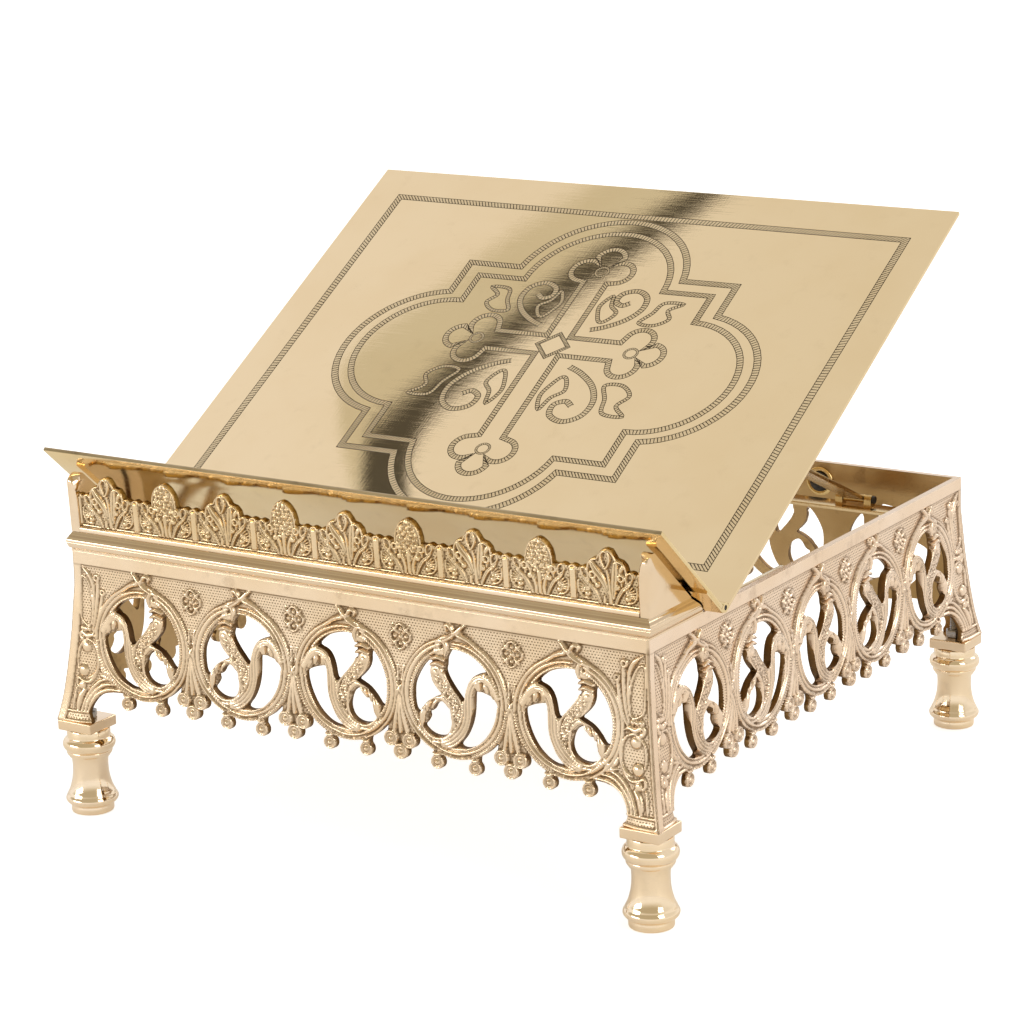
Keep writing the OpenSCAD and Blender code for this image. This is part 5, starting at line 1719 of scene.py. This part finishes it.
# a soft dome: white near the horizon, dimmer above it at the front, bright over the back left
front_ = tw.ramp(gy, -0.35, 0.08, 1.0, 0.0)
low = tw.ramp(gz, 0.10, 0.36, 1.0, 0.0)
high = tw.ramp(gx, -0.66, -0.40, 0.98, 0.84)
lf = tw.math("ADD", tw.math("MULTIPLY", low, 0.45), 0.52)
lb = tw.math("ADD", tw.math("MULTIPLY", high, tw.math("SUBTRACT", 1.0, low)), tw.math("MULTIPLY", low, 0.95))
lvl = tw.math("ADD", tw.math("MULTIPLY", lf, front_), tw.math("MULTIPLY", lb, tw.math("SUBTRACT", 1.0, front_)))
wt.links.new(tw.mix(low, tw.mix(front_, tw.mix(tw.ramp(gx, -0.66, -0.40, 1.0, 0.0), (1.0, 0.985, 0.955), (1.0, 1.0, 1.07)), (1.0, 0.90, 0.68)), (1.0, 1.0, 1.0)), bg.inputs[0])
wt.links.new(lvl, bg.inputs[1])


def area(name, loc, target, size_m, power, color=(1, 1, 1)):
    li = bpy.data.lights.new(name, "AREA")
    li.shape = "RECTANGLE"
    li.size, li.size_y = size_m
    li.energy = power
    li.color = color
    ob = bpy.data.objects.new(name, li)
    COL.objects.link(ob)
    ob.location = loc
    d = Vector(target) - Vector(loc)
    ob.rotation_euler = d.to_track_quat("-Z", "Y").to_euler()
    return ob


area("key", (-1.15, -1.75, 0.50), (0, 0, 0.1), (1.3, 0.34), 9)
area("fill", (1.7, -0.6, 1.0), (0, 0, 0.1), (0.7, 0.9), 6)
area("rear", (0.4, 1.9, 1.3), (0, 0, 0.1), (1.4, 0.6), 7)

F_PX, AZ_C, EL_C, ROLL, CXP, CYP, DIST = 3284.275, 32.508, 14.792, -1.466, -9.8, 124.5, 1550.504
a, e, r = (math.radians(v) for v in (AZ_C, EL_C, ROLL))
back_v = Vector((math.sin(a) * math.cos(e), -math.cos(a) * math.cos(e), math.sin(e)))
right_v = Vector((math.cos(a), math.sin(a), 0))
up_v = back_v.cross(right_v)
rr_ = right_v * math.cos(r) + up_v * math.sin(r)
uu_ = -right_v * math.sin(r) + up_v * math.cos(r)
pos = Vector((CXP, 0, CYP)) + back_v * DIST
cam = bpy.data.cameras.new("camera")
cam.sensor_width = 36.0
cam.lens = F_PX * 36.0 / 1024.0
cam.clip_start = 0.05
cam.clip_end = 50
co = bpy.data.objects.new("camera", cam)
COL.objects.link(co)
M = Matrix.Identity(4)
for i_, v_ in enumerate((rr_, uu_, back_v)):
    M[0][i_], M[1][i_], M[2][i_] = v_
M.translation = pos * MM
co.matrix_world = M
bpy.context.scene.camera = co


def mirrored_card(name, left, right, height, mat):
    """A card overhead whose mirror image on the plate, as the camera sees it, lies
    between two lines of plate points (u, v). Only reflections show it."""
    n = Vector((0, -math.sin(TILT), math.cos(TILT)))
    V = []
    for pair in zip(left, right):
        for u, v in pair:
            P = Vector(on_plate(v, -0.46, u)) * MM
            d = (P - co.matrix_world.translation).normalized()
            r = d - 2 * d.dot(n) * n
            V.append(P + r * ((height - P.z) / r.z))
    F = [(2 * i, 2 * i + 1, 2 * i + 3, 2 * i + 2) for i in range(len(left) - 1)]
    me = bpy.data.meshes.new(name)
    me.from_pydata(V, [], F)
    ob = bpy.data.objects.new(name, me)
    COL.objects.link(ob)
    me.materials.append(mat)
    ob.visible_camera = False
    ob.visible_shadow = False
    ob.visible_diffuse = False


def card_material(name, c1, c2, glow):
    m, nt, bs = nodes_of(name)
    t = Tree(nt)
    c = t.mix(t.noise(t.coords(), 3.0), c1, c2)
    bs.inputs["Base Color"].default_value = (0.01, 0.01, 0.01, 1)
    nt.links.new(c, bs.inputs["Emission Color"])
    bs.inputs["Emission Strength"].default_value = glow
    bs.inputs["Roughness"].default_value = 0.9
    return m


STREAK_L = [(28, 284), (14, 262), (6, 248), (-5, 228), (-18, 206), (-27, 184), (-35, 162), (-41, 145), (-50, 128), (-54, 114), (-60, 99),
            (-66, 81), (-62, 67), (-54, 51), (-47, 39), (-36, 18), (-26, -4)]
STREAK_R = [(48, 284), (34, 262), (29, 248), (19, 230), (8, 206), (-3, 187), (-12, 165), (-19, 148), (-27, 131), (-31, 114), (-35, 101),
            (-37, 85), (-36, 71), (-31, 55), (-23, 41), (-10, 20), (4, -4)]
SHADE_L = [(-28, 284), (-39, 262), (-48, 248), (-60, 228), (-70, 206), (-78, 184), (-91, 162), (-99, 145), (-104, 128), (-103, 114), (-95, 99),
           (-85, 81), (-75, 67), (-62, 51), (-52, 39), (-40, 18), (-30, -4)]
mirrored_card("dark_card", STREAK_L, STREAK_R, 0.62, card_material("dark_card", (0.06, 0.057, 0.05), (0.095, 0.09, 0.078), 1.0))
mirrored_card("shade_card", SHADE_L, STREAK_L, 0.63, card_material("shade_card", (0.70, 0.69, 0.63), (0.66, 0.65, 0.585), 1.0))
bpy.context.scene.view_settings.view_transform = "Standard"
